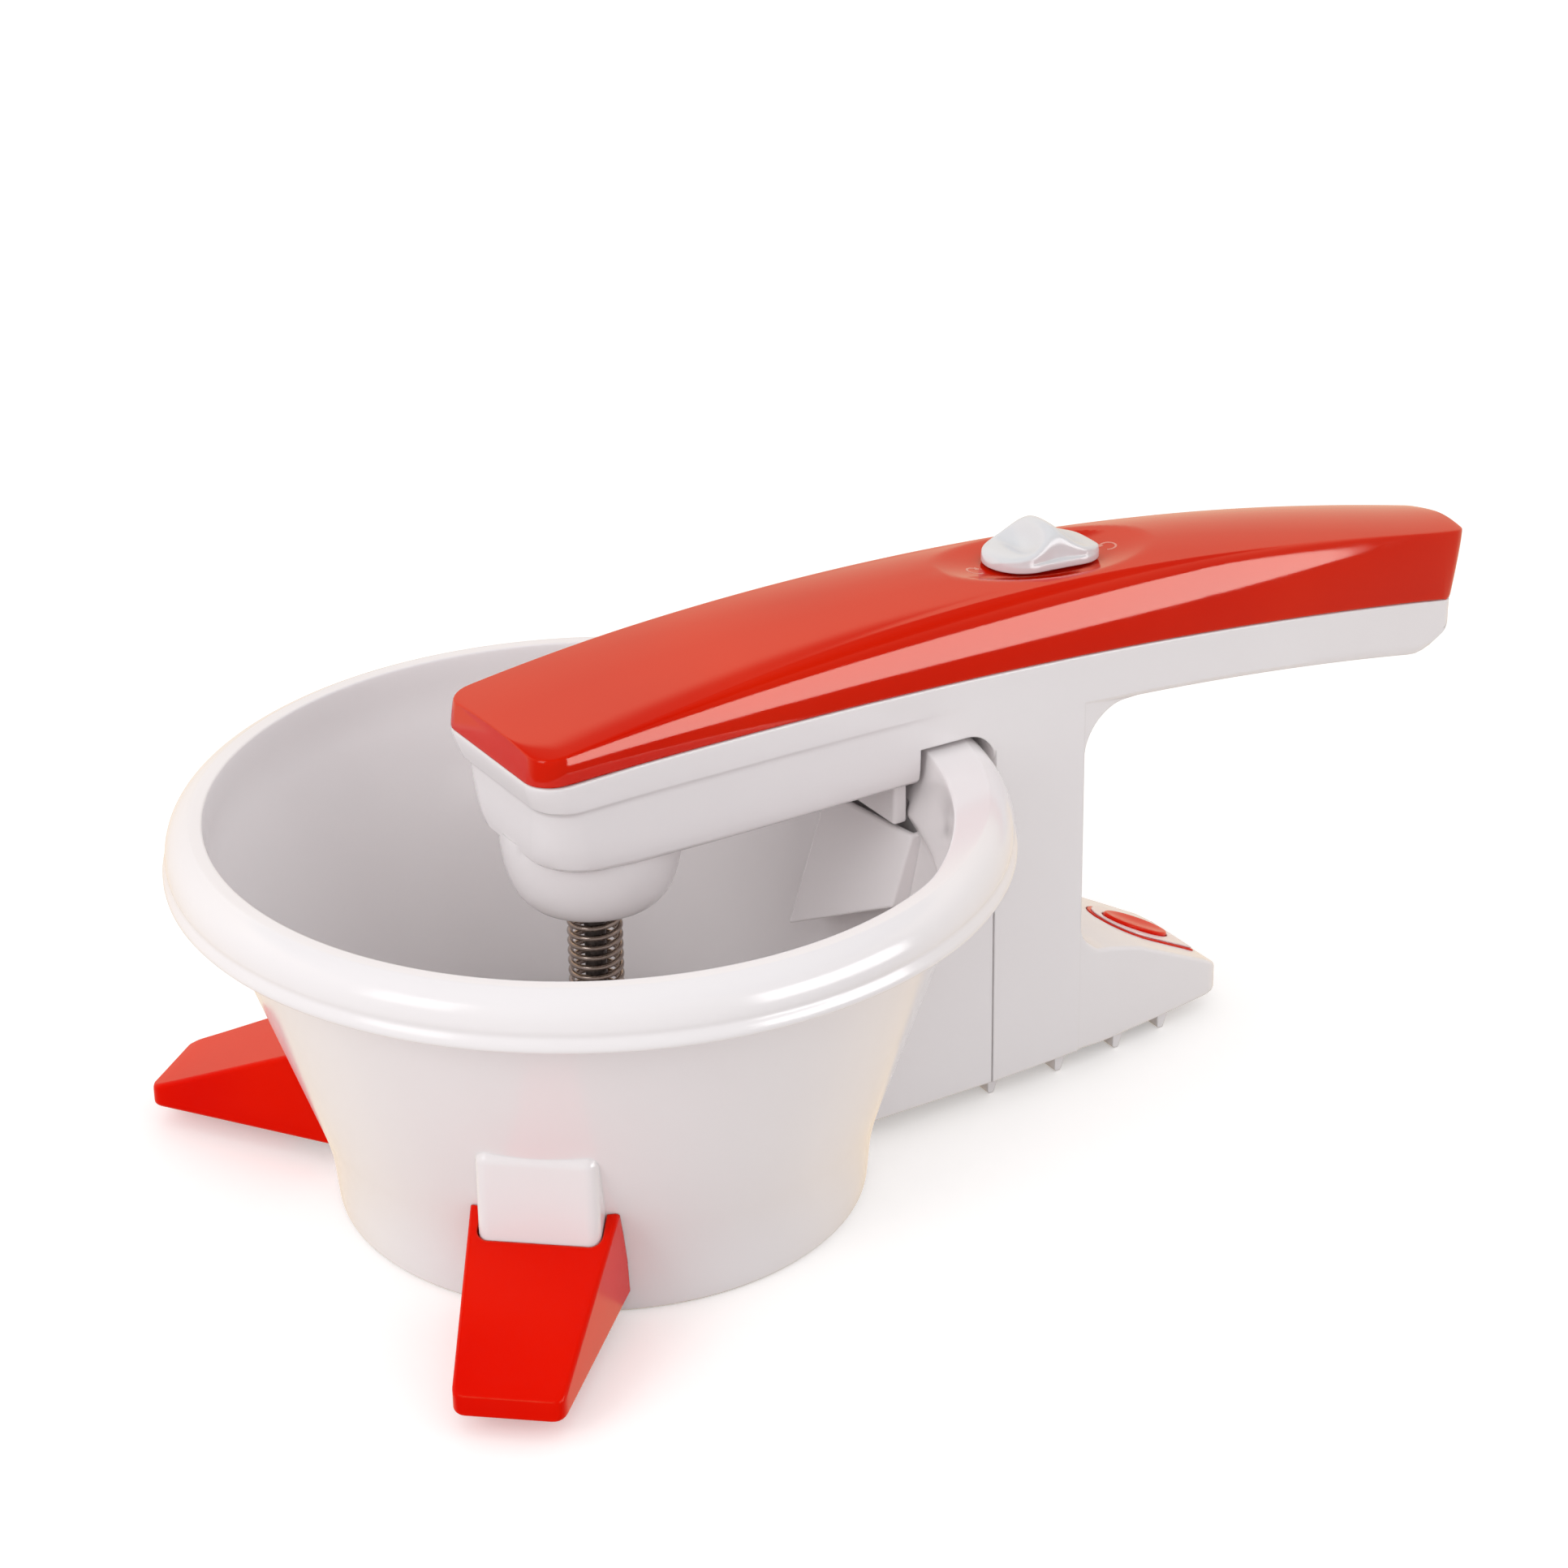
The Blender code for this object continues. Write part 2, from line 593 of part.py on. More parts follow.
def under_z(x):
    """The housing's underside: level under the head, up to the grip's line behind the column."""
    k = clamp01((x - 118.0) / 22.0)
    k = k * k * (3 - 2 * k)
    return HEAD_UNDER + (grip_under(max(x, 140.0)) - HEAD_UNDER) * k


def housing_ring(x, angle=FLANK, inset=0.0, floor=None, top=None, corner=False):
    """One section; corner sets each level where its own plan corner meets the flank."""
    seam_z = part_z(x) - SEAM
    low_z = under_z(x) if floor is None else floor
    step_z = min(124.0 - 5.5 * clamp01((x - 90) / 44), low_z + 0.62 * (seam_z - low_z))
    rise = step_z - low_z
    heights = (seam_z if top is None else top, step_z, step_z - min(1.0, 0.15 * rise),
               low_z + 0.5 * rise, low_z + min(2.6, 0.25 * rise), low_z)
    fade = 0.25 + 0.75 * clamp01((150 - x) / 30)
    flank = []
    for (setback, radius, narrowing, fades), z in zip(LEVELS, heights):
        front_x = HEAD_X + setback + inset
        flank_x = front_x + radius if corner else x
        px, corner_cut = corner_point(front_x, radius, angle, flank_x)
        narrow = narrowing * fade if fades else narrowing
        flank.append((px, half_width(x) - narrow - corner_cut - inset, z))
    (top_x, _, top_z), (low_x, _, floor_z) = flank[0], flank[-1]
    mirrored = [(px, -py, pz) for px, py, pz in reversed(flank)]
    return [(top_x, 0.0, top_z)] + flank + [(low_x, 0.0, floor_z)] + mirrored


def housing_body():
    rings = [housing_ring(HEAD_STATION, angle, corner=angle == FLANK)
             for angle in (0.0, 0.4, 0.8, 1.2, FLANK)]
    xs = [x for x in STATIONS if 4 < x < 268] + [268.0, 273.0, 278.0]
    rings += [housing_ring(x) for x in xs]
    rings.append([(px, py * 0.97, pz) for px, py, pz in housing_ring(281.0)])
    return loft("housing", rings)


def tail_taper(x):
    return 1.0 if x < COL_X1 else 1.0 - 0.27 * (x - COL_X1) / 57


def tail_top(x):
    """Upper line of the tail: a round from the column, a soft slope, then a straight one."""
    if x < 150.1:
        return 36.0 + 11.0 * (1 - circle_height((155.0 - x) / 12.0))
    if x < TAIL_KNEE_X:
        return 36.0 - 5.0 * ((x - 150.1) / 16.9) ** 1.2
    return TAIL_KNEE_Z - TAIL_FALL * (x - TAIL_KNEE_X) / TAIL_RUN


def grip_fillet():
    """The round between the column and the grip's underside."""
    stations = []
    for x in (138.0, 143.4, 146.0, 150.0, 157.0):
        half = min(27.7, half_width(x) - 1.2 - 0.12 * (x - 138))
        low = 97.7 + 14.5 * circle_height((157.5 - x) / 14.5) - (2.0 if x < 141.0 else 0.0)
        stations.append((x, half, low, 117.0))
    stations.append((172.0, half_width(172) - 6.0, grip_under(172.0) + 0.7, 113.2))
    return bar("fillet", stations, 0.6)


def housing_tail():
    stations = [(x, 28.0 * tail_taper(x) - 0.15, 5.2 - 0.6 * (x > 150), tail_top(x))
                for x in (138.0, 143.6, 146.0, 150.1, 158.0, 167.0, 182.0, 195.0)]
    stations.append((198.4, 28 * tail_taper(198.4) - 1.4, 4.9, 13.8))
    stations.append((199.8, 28 * tail_taper(199.8) - 3.4, 6.0, 12.4))
    return bar("tail", stations, 1.3)


def cavity_ring(x, floor, angle=FLANK, corner=False):
    return housing_ring(x, angle, SKIN, floor, 150.0, corner)


def grip_floor(x):
    if x < 160:
        return grip_under(max(x, 140.0)) + 2.2
    return min(grip_under(x) + SKIN, 113.6)


def housing_cavities():
    """Cutters for the head, the bridge behind it, the grip, the column and the rim's slot."""
    head = [cavity_ring(HEAD_STATION, HEAD_FLOOR, angle) for angle in (0.3, 0.9)]
    head.append(cavity_ring(HEAD_STATION, HEAD_FLOOR, corner=True))
    head += [cavity_ring(x, HEAD_FLOOR) for x in (6.0, 26.0, 50.0, 78.8)]
    grip_xs = (118.5, 145.0, 158.0, 161.5, 180.0, 200.0, 230.0, 255.0, 270.0, 276.0)
    slot = [(SLOT_X0, 80.0), (SLOT_X0, SLOT_Z)]
    for degrees in (90, 67.5, 45, 22.5, 0):
        t = math.radians(degrees)
        slot.append((SLOT_X1 - SLOT_R + SLOT_R * math.cos(t),
                     SLOT_Z - SLOT_R + SLOT_R * math.sin(t)))
    slot += [(SLOT_X1, 101.0), (111.0, 98.0), (111.0, 80.0)]
    return (loft("head_cav", head),
            loft("mid_cav", [cavity_ring(x, 118.4) for x in (74.0, 100.0, 125.0)]),
            loft("grip_cav", [cavity_ring(x, grip_floor(x)) for x in grip_xs]),
            box("col_cav", (118.0, 140.4), (-25.4, 25.4), (40.0, 125.0)),
            box("low_cav", (114.8, 140.4), (-25.4, 25.4), (8.0, 98.0)),
            side_prism("slot", slot, 60.0))


def u_outline(half, nose, rear, steps=8):
    """A U: square at the rear, towards the tail's end, and round at the nose."""
    outline = [(rear, -half * 0.92)]
    for i in range(steps + 1):
        t = math.radians(-90 - 180 * i / steps)
        outline.append((nose + half + half * math.cos(t), half * math.sin(t)))
    outline.append((rear, half * 0.92))
    return outline


def oval(a, b, count=28):
    return [(PAD_U + a * math.cos(2 * math.pi * i / count), b * math.sin(2 * math.pi * i / count))
            for i in range(count)]


def build_housing():
    housing = housing_body()
    column = box("column", (COL_X0, COL_X1), (-28.0, 28.0), (5.0, 118.0), 1.3)
    housing = join(housing, column, grip_fillet(), housing_tail())
    # toothed cross ribs under the column and tail, down to the table
    for x in (113.6, 137.0, 159.0, 177.0):
        tooth = [(x - 1.2, 6.7), (x - 1.2, 0.0), (x + 1.2, 0.0), (x + 3.6, 6.7)]
        housing = join(housing, side_prism("tooth", tooth, 27.0 * tail_taper(x) - 1.0))
    boss = turned("boss", [
        (0, 109.0), (24.8, 109.0), (24.6, 104.0), (23.6, 98.0), (22.2, 93.0), (20.4, 89.0),
        (18.0, BOSS_Z + 1.2), (15.0, BOSS_Z), (0, BOSS_Z)], 40)
    housing = join(housing, boss)
    housing = cut(housing, *housing_cavities())
    # block under the head at the front of the slot
    housing = join(housing, box("inner_box", (81.5, 89.6), (-24, 24), (93.0, 108.5), 0.8))
    # underside of the tail: open bays between cross ribs
    for x0, x1 in ((145.0, 156.4), (164.4, 174.4)):
        bay = box("bay", (x0, x1), (-19.5, 19.5), (-2.0, 20.0 - (x0 - 146) * 0.35))
        housing = cut(housing, bay)
    # release pad's seat on the tail
    seat = plate("seat", u_outline(12.2, -19.3, 13.2), -4.0, 6.0, frame=PAD_FRAME)
    housing = cut(housing, seat)
    well = plate("well", oval(13.6, 8.4), -12.0, 0.0, frame=PAD_FRAME)
    housing = cut(housing, well)
    # bores for the drive, the cover screws and the charge socket
    housing = cut(housing, rod("bore", 9.4, 70.0, 112.0, 28))
    for x, y, z in COVER_SCREWS:
        housing = cut(housing, rod("hole", 1.8, z - 30, z + 8, 12, (x, y, 0)),
                      rod("sink", 3.2, z - 30, z - 1.1, 14, (x, y, 0)))
    housing = cut(housing, rod("jack_hole", 3.3, 95.0, 106.0, 16, (JACK_X, 0, 0)))
    part(housing, "motor_housing", "white", tidy=1e-5)


# --- release pad on the tail ---
def build_release():
    opening = oval(12.5, 7.3)
    trim = plate("trim", u_outline(11.8, -18.9, 12.8), -3.6, -0.6, [opening], frame=PAD_FRAME)
    part(trim, "release_trim", "red")
    tongue = plate("tongue", u_outline(10.7, -17.8, 12.6), -0.3, 0.5, [opening],
                   frame=PAD_FRAME)
    part(tongue, "release_tongue", "pale")
    pad = plate("pad", oval(11.9, 6.7), -6.0, 1.6, bevel=0.5, frame=PAD_FRAME)
    flange = plate("flange", oval(13.1, 7.9), -7.2, -5.8, frame=PAD_FRAME)
    part(join(pad, flange), "release_button", "red", PAD_AT)
    spring = coil("rs", radius=4.4, wire_r=0.45, z0=-11.2, z1=-7.9, pitch=1.6, per_turn=10,
                  frame=PAD_FRAME)
    part(spring, "release_spring", "steel", PAD_AT)


# --- switch ---
KNOB_Z = crease_z(KNOB_X) + crown(KNOB_X) - 1.35
KNOB_LENGTH, KNOB_HALF = 39.2, 10.8
KNOB_PROFILE = (   # fraction of the length, height
    (0.0, 2.0), (0.06, 3.2), (0.2, 4.2), (0.33, 6.6), (0.42, 9.4), (0.47, 10.6),
    (0.5, 10.9), (0.54, 10.2), (0.66, 7.2), (0.8, 4.8), (0.94, 3.2), (1.0, 2.0))


def knob_ring(fraction, height):
    """A domed section of the knob, lying on the dish's slope."""
    x = -KNOB_LENGTH / 2 + KNOB_LENGTH * fraction
    from_end = min(fraction, 1 - fraction) * KNOB_LENGTH
    half = KNOB_HALF
    if from_end <= KNOB_HALF:
        half = max(2.0, math.sqrt(KNOB_HALF ** 2 - (KNOB_HALF - from_end) ** 2))
    section = [(-half, 0.0), (half, 0.0)]
    for degrees in (12, 38, 65, 90, 115, 142, 168):
        t = math.radians(degrees)
        section.append((half * 0.96 * math.cos(t), height * math.sin(t) ** 0.8))
    return [(KNOB_X + x, y, KNOB_Z + z - math.tan(DISH_SLOPE) * x) for y, z in section]


def build_switch():
    knob = loft("knob", [knob_ring(*station) for station in KNOB_PROFILE])
    stem = box("stem", (KNOB_X - 2.2, KNOB_X + 2.2), (-1.9, 1.9), (138.4, KNOB_Z + 1.0))
    part(join(knob, stem), "switch_knob", "white", (KNOB_X, 0, KNOB_Z))
    body = box("sw", (134.6, 156.0), (-6.5, 6.5), (127.0, 138.0), 0.6)
    body = cut(body, box("groove", (138.0, 152.6), (-2.6, 2.6), (134.0, 140.0)))
    part(body, "slide_switch", "black")
    lever = box("lever", (KNOB_X - 1.6, KNOB_X + 1.6), (-2.2, 2.2), (134.4, 138.1))
    part(lever, "switch_lever", "nylon", (KNOB_X, 0, 136.0))


# --- gear train ---
def gear_outline(teeth, module, backlash, addendum=0.9, dedendum=1.15, phase=0.0):
    """Straight-flank teeth; one tooth is centred on angle phase."""
    pitch_r = teeth * module / 2
    tip_r, root_r = pitch_r + addendum * module, pitch_r - dedendum * module
    half_tooth = (math.pi * module / 2 - backlash) / 2 / pitch_r
    tip, root = half_tooth * 0.5, half_tooth * 1.65
    points = []
    for i in range(teeth):
        centre = phase + 2 * math.pi / teeth * i
        for angle, radius in ((-root, root_r), (-tip, tip_r), (tip, tip_r), (root, root_r)):
            points.append((radius * math.cos(centre + angle), radius * math.sin(centre + angle)))
    return points


def build_gears():
    """The output gear, and the pinion, hub and worm wheel in one piece on the axle."""
    mesh_angle = math.atan2(AXLE_Y, AXLE_X)
    outline = gear_outline(GEAR_TEETH, SPUR_MODULE, SPUR_BACKLASH, phase=mesh_angle)
    part(plate("gear", outline, 110.6, 115.6, [circle(6.4, 24)]), "output_gear", "nylon")

    on_axle = Matrix.Translation((AXLE_X * MM, AXLE_Y * MM, 0))
    bore = circle(AXLE_BORE, 12)
    # a gap of the pinion faces the output gear's tooth
    outline = gear_outline(PINION_TEETH, SPUR_MODULE, SPUR_BACKLASH,
                           phase=mesh_angle + math.pi + math.pi / PINION_TEETH)
    pinion = plate("pinion", outline, 110.0, 116.2, [bore], frame=on_axle)
    hub = tube("hub", 3.4, AXLE_BORE, 116.0, 123.4, 16, (AXLE_X, AXLE_Y, 0))
    outline = gear_outline(WHEEL_TEETH, WORM_MODULE, 0.5, 0.8, 1.2, phase=math.pi / 2)
    wheel = plate("wheel", outline, 123.2, 126.8, [bore], frame=on_axle)
    part(join(pinion, hub, wheel), "worm_wheel", "nylon", (AXLE_X, AXLE_Y, 0))
    axle = rod("axle", AXLE_R, HEAD_FLOOR + 0.3, 131.0, 12, (AXLE_X, AXLE_Y, 0))
    part(axle, "wheel_axle", "steel")


def worm_thread(length):
    """One right-hand thread along X; at mid-length a groove faces -Y."""
    per_turn = 12
    lead = math.pi * WORM_MODULE
    root_r, crest_r = WORM_R - 1.2, WORM_R + 0.75
    profile = (   # offset along x, radius
        (-0.95, root_r - 0.6), (-0.95, root_r), (-0.38, crest_r),
        (0.38, crest_r), (0.95, root_r), (0.95, root_r - 0.6))
    bm = bmesh.new()
    sections = []
    for i in range(WORM_TURNS * per_turn + 1):
        angle = 2 * math.pi * i / per_turn
        x = -length / 2 + lead * i / per_turn
        sections.append([bm.verts.new((x + dx, r * math.cos(angle), r * math.sin(angle)))
                         for dx, r in profile])
    for section_a, section_b in zip(sections, sections[1:]):
        bridge(bm, section_a, section_b)
    bm.faces.new(sections[0])
    bm.faces.new(sections[-1])
    bmesh.ops.triangulate(bm, faces=[f for f in bm.faces if len(f.verts) > 4])
    return from_bmesh("thread", bm)


def build_worm():
    length = WORM_TURNS * math.pi * WORM_MODULE
    centre = (AXLE_X, 0, WORM_Z)
    # placed so that the groove stands at the wheel's tooth
    thread = worm_thread(length)
    thread.matrix_world = Matrix.Translation(Vector(centre) * MM)
    thread = bake(thread)
    core_end = length / 2 + 1.6
    core = rod("core", WORM_R - 1.35, -core_end, core_end, 16, centre, ALONG_X)
    neck = rod("neck", 1.5, 4.6, 38.4, 12, (0, 0, WORM_Z), ALONG_X)
    part(join(core, neck, thread), "worm", "steel", centre)


def build_gearbox_plate():
    """A steel plate with an upright that carries the motor."""
    outline = [(-21, -17), (-14, -22), (30, -24), (34.6, -20),
               (34.6, 20), (30, 24), (-14, 22), (-21, 17)]
    base = plate("frame", outline, PLATE_Z0, PLATE_Z1,
                 [circle(6.9, 24), circle(4.4, 16, AXLE_X, AXLE_Y)])
    upright = box("upright", (33.3, 34.6), (-15, 15), (PLATE_Z1 - 0.2, 137.5))
    upright = cut(upright, rod("window", 4.6, 30, 38, 20, (0, 0, WORM_Z), ALONG_X))
    base = join(base, upright)
    for x, y in PLATE_SCREWS:
        base = cut(base, rod("fh", 1.6, 110, 125, 10, (x, y, 0)))
    part(base, "gearbox_plate", "steel")


def build_bearings():
    bearing = box("bearing", (9.3, 11.2), (-4.2, 4.2), (ON_PLATE_Z, 130.0), 0.5)
    bearing = cut(bearing, rod("bh", 1.85, 0, 20, 12, (0, 0, WORM_Z), ALONG_X))
    part(bearing, "worm_bearing", "brass")
    part(turned("ub", [(8.6, 120.2), (8.6, ON_PLATE_Z), (6.6, ON_PLATE_Z), (6.6, 116.8),
                       (3.4, 116.8), (3.4, 120.2)]), "upper_bush", "brass")
    part(tube("lb", 9.0, 6.35, 90.6, 97.0), "lower_bush", "brass")


def build_motor():
    can = turned("can", [
        (0, 77.8), (6.0, 77.8), (6.0, 76.0), (13.0, 76.0), (13.8, 74.8),
        (13.8, 38.4), (13.2, 37.6), (5.0, 37.6), (5.0, 36.0), (0, 36.0)],
        28, (0, 0, WORM_Z), ALONG_X)
    can = cut(can, rod("nose", 1.9, 30, 39.6, 12, (0, 0, WORM_Z), ALONG_X))
    part(can, "motor", "steel")


def build_drive_socket():
    """The output socket, closed at the top; carries the gear and the spring's upper seat."""
    part(turned("socket", [
        (0, 121.0), (3.0, 121.0), (3.0, 116.4), (6.05, 116.4), (6.05, 88.8), (8.3, 88.8),
        (8.3, 87.2), (3.45, 87.2), (3.45, 110.0), (0, 110.0)]), "drive_socket", "steel")


# --- mixer: shaft, blade and spring ---
def blade_sheet():
    """Half-turn wiping blade: just above the disc at azimuth 0, rising to azimuth 180."""
    thickness, inner_r, outer_r = 1.0, 11.0, 61.0
    turn_steps, radial_steps = 18, 4
    bm = bmesh.new()
    grid = {}
    for layer, dz in enumerate((0.0, thickness)):
        for i in range(turn_steps + 1):
            u = i / turn_steps
            angle = math.radians(180.0 * u)
            for j in range(radial_steps + 1):
                r = inner_r + (outer_r - inner_r) * j / radial_steps
                z = 11.6 + 21.0 * u ** 1.15 * (0.35 + 0.65 * r / outer_r)
                grid[layer, i, j] = bm.verts.new(
                    (r * math.cos(angle), r * math.sin(angle), z + dz))

    def face(*keys):
        bm.faces.new([grid[key] for key in keys])

    for i in range(turn_steps):
        for j in range(radial_steps):
            face((1, i, j), (1, i + 1, j), (1, i + 1, j + 1), (1, i, j + 1))
            face((0, i, j + 1), (0, i + 1, j + 1), (0, i + 1, j), (0, i, j))
    for i in range(turn_steps):
        for j in (0, radial_steps):
            face((0, i, j), (0, i + 1, j), (1, i + 1, j), (1, i, j))
    for j in range(radial_steps):
        for i in (0, turn_steps):
            face((0, i, j), (0, i, j + 1), (1, i, j + 1), (1, i, j))
    return from_bmesh("blade", bm)


def build_mixer():
    part(turned("shaft", [(0, 102.0), (2.4, 102.0), (SHAFT_R, 101.0), (SHAFT_R, 7.0),
                          (2.2, 5.6), (0, 5.6)], 20), "mixer_shaft", "steel")
    bore = SHAFT_R + 0.35
    part(turned("collar", [
        (9.0, 30.4), (9.0, 27.6), (7.6, 26.6), (7.6, 14.4), (9.6, 13.0), (9.6, 12.0),
        (bore, 12.0), (bore, 30.4)]), "blade_collar", "nylon")
    blade = join(blade_sheet(), tube("ring", 12.2, 7.95, 14.6, 16.4))
    part(blade, "blade", "steel")
    spring = coil("spring", SPRING_R, WIRE_R, SPRING_Z0 + WIRE_R, SPRING_Z1 - WIRE_R,
                  SPRING_PITCH, per_turn=8)
    part(spring, "compression_spring", "dark")


# --- supply ---
def build_supply():
    cell_profile = [(0, 50.0), (7.1, 50.0), (7.1, 1.4), (2.6, 1.4), (2.6, 0.0), (0, 0.0)]
    for i, y in enumerate((7.9, -7.9)):
        cell = turned("cell", cell_profile, 20, (162.0, y, 121.0), ALONG_X)
        part(cell, "battery_cell_%d" % (i + 1), "wrap")
    board = box("board", (164.0, 206.0), (-14.0, 14.0), (130.4, 132.0))
    board = join(board, box("chip", (172, 180), (-4, 4), (131.5, 133.6)),
                 rod("cap", 3.0, 131.5, 137.0, 12, (190, 4, 0)),
                 box("conn", (196, 203), (-10, -3), (131.5, 135.5)))
    part(board, "circuit_board", "board")
    jack = turned("jack", [
        (0, 112.0), (4.2, 112.0), (4.2, 103.6), (2.9, 103.6), (2.9, 101.4), (1.9, 101.4),
        (1.9, 108.0), (0, 108.0)], 16, (JACK_X, 0, 0))
    part(jack, "charge_socket", "black")


# --- fasteners ---
def build_screw(name, x, y, z, length, up=1.0, radius=1.4, head_r=2.8):
    """A slotted screw whose shank leaves its head at z, upwards or (up = -1) downwards."""
    head_height = 1.7
    profile = [(0, length), (radius * 0.6, length), (radius, length - 0.8), (radius, 0.0),
               (head_r, 0.0), (head_r, -1.1), (head_r - 0.6, -head_height), (0, -head_height)]
    rotation = None if up > 0 else (math.pi, 0, 0)
    screw = turned(name, profile, 10, (x, y, z), rotation)
    face_z = z - up * head_height
    slot = box("sa", (x - 1.7, x + 1.7), (y - 0.35, y + 0.35), (face_z - 0.7, face_z + 0.7))
    part(cut(screw, slot), name, "steel")


def build_screws():
    for i, (x, y, z) in enumerate(COVER_SCREWS):
        build_screw("cover_screw_%d" % (i + 1), x, y, z - 1.4, 14.0)
    for i, (x, y) in enumerate(PLATE_SCREWS):
        build_screw("plate_screw_%d" % (i + 1), x, y, ON_PLATE_Z, 6.0,
                    up=-1.0, radius=1.3, head_r=2.4)


build_bowl()
build_disc()
build_foot(-1, "foot_near")
build_foot(1, "foot_far")
build_cover()
build_housing()
build_release()
build_switch()
build_gears()
build_worm()
build_gearbox_plate()
build_bearings()
build_motor()
build_drive_socket()
build_mixer()
build_supply()
build_screws()
# anything a failed boolean attempt left behind stays out of renders
for leftover in list(WORK.objects):
    leftover.hide_render = True
    leftover.display_type = "WIRE"
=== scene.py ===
"""Looks of a food mill: a white bowl on two red feet, under a long white and red motor handle.

Pieces are drawn in millimetres round the bowl's upright axis: +Z is up, z = 0 is the table, and
the handle runs over the bowl and out along +X, with a column down to the table. "Front" is -X,
"back" is +X and "near" is -Y. Meshes are in metres, and `finish` moves them to AXIS_X in the frame.
"""

from math import acos, atan2, cos, exp, hypot, pi, radians, sin, sqrt

import bmesh
import bpy
from mathutils import Matrix, Vector


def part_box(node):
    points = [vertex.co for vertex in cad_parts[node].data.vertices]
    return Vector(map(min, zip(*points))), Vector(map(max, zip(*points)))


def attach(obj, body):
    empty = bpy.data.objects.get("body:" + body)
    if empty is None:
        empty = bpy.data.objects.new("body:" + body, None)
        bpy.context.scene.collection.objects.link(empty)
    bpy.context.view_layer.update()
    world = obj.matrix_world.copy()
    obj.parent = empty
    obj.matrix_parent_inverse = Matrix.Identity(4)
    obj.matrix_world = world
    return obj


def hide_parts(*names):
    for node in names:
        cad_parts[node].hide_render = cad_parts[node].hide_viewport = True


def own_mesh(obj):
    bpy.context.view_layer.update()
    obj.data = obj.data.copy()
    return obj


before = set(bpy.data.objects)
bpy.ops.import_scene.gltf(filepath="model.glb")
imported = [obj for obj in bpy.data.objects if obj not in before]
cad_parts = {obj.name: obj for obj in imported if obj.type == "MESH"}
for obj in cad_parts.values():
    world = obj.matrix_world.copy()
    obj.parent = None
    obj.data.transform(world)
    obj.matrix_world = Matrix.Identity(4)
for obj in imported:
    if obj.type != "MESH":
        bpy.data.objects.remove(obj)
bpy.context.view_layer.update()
MM = 0.001
WELD = 1e-6                                                # metres
AXIS_X = sum(v.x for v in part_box("drive_socket")) / 2      # the bowl's axis in the frame, metres
SCENE = bpy.context.scene


# --- mesh helpers -----------------------------------------------------------
def link(name, data):
    ob = bpy.data.objects.new(name, data)
    SCENE.collection.objects.link(ob)
    return ob


def from_bm(name, bm, scale=MM):
    """Turn a bmesh into an object with its faces pointing outwards."""
    bmesh.ops.recalc_face_normals(bm, faces=bm.faces)
    if bm.calc_volume(signed=True) < 0:
        bmesh.ops.reverse_faces(bm, faces=bm.faces)
    if scale != 1:
        bmesh.ops.scale(bm, vec=(scale,) * 3, verts=bm.verts)
    mesh = bpy.data.meshes.new(name)
    bm.to_mesh(mesh)
    bm.free()
    return link(name, mesh)


def bake(ob):
    """Replace an object by a welded mesh with its modifiers and placing applied."""
    bpy.context.view_layer.update()
    depsgraph = bpy.context.evaluated_depsgraph_get()
    mesh = bpy.data.meshes.new_from_object(ob.evaluated_get(depsgraph))
    mesh.transform(ob.matrix_world)
    bm = bmesh.new()
    bm.from_mesh(mesh)
    bmesh.ops.remove_doubles(bm, verts=bm.verts, dist=WELD)
    name = ob.name
    bpy.data.objects.remove(ob, do_unlink=True)
    bpy.data.meshes.remove(mesh)
    return from_bm(name, bm, 1)


def bake_at(ob, matrix):
    ob.matrix_world = matrix
    return bake(ob)


def volume(ob):
    bm = bmesh.new()
    bm.from_mesh(ob.data)
    result = bm.calc_volume(signed=True)
    bm.free()
    return result


def boolean(ob, other, op):
    """Try the fast solver, then the exact one if the volume that comes out is impossible."""
    va, vb = volume(ob), volume(other)
    low = max(va, vb) * 0.999 if op == "UNION" else max(va - vb, va * 0.02) * 0.999
    high = (va + vb) * 1.001 if op == "UNION" else va * 1.001
    for solver in ("MANIFOLD", "EXACT"):
        trial = ob.copy()
        trial.data = ob.data.copy()
        SCENE.collection.objects.link(trial)
        mod = trial.modifiers.new("b", "BOOLEAN")
        mod.operation, mod.object, mod.solver = op, other, solver
        out = bake(trial)
        if low <= volume(out) <= high:
            break
    name = ob.name
    bpy.data.objects.remove(other, do_unlink=True)
    bpy.data.objects.remove(ob, do_unlink=True)
    out.name = name
    return out


def cut(ob, *others):
    for other in others:
        ob = boolean(ob, other, "DIFFERENCE")
    return ob


def join(ob, *others):
    for other in others:
        ob = boolean(ob, other, "UNION")
    return ob


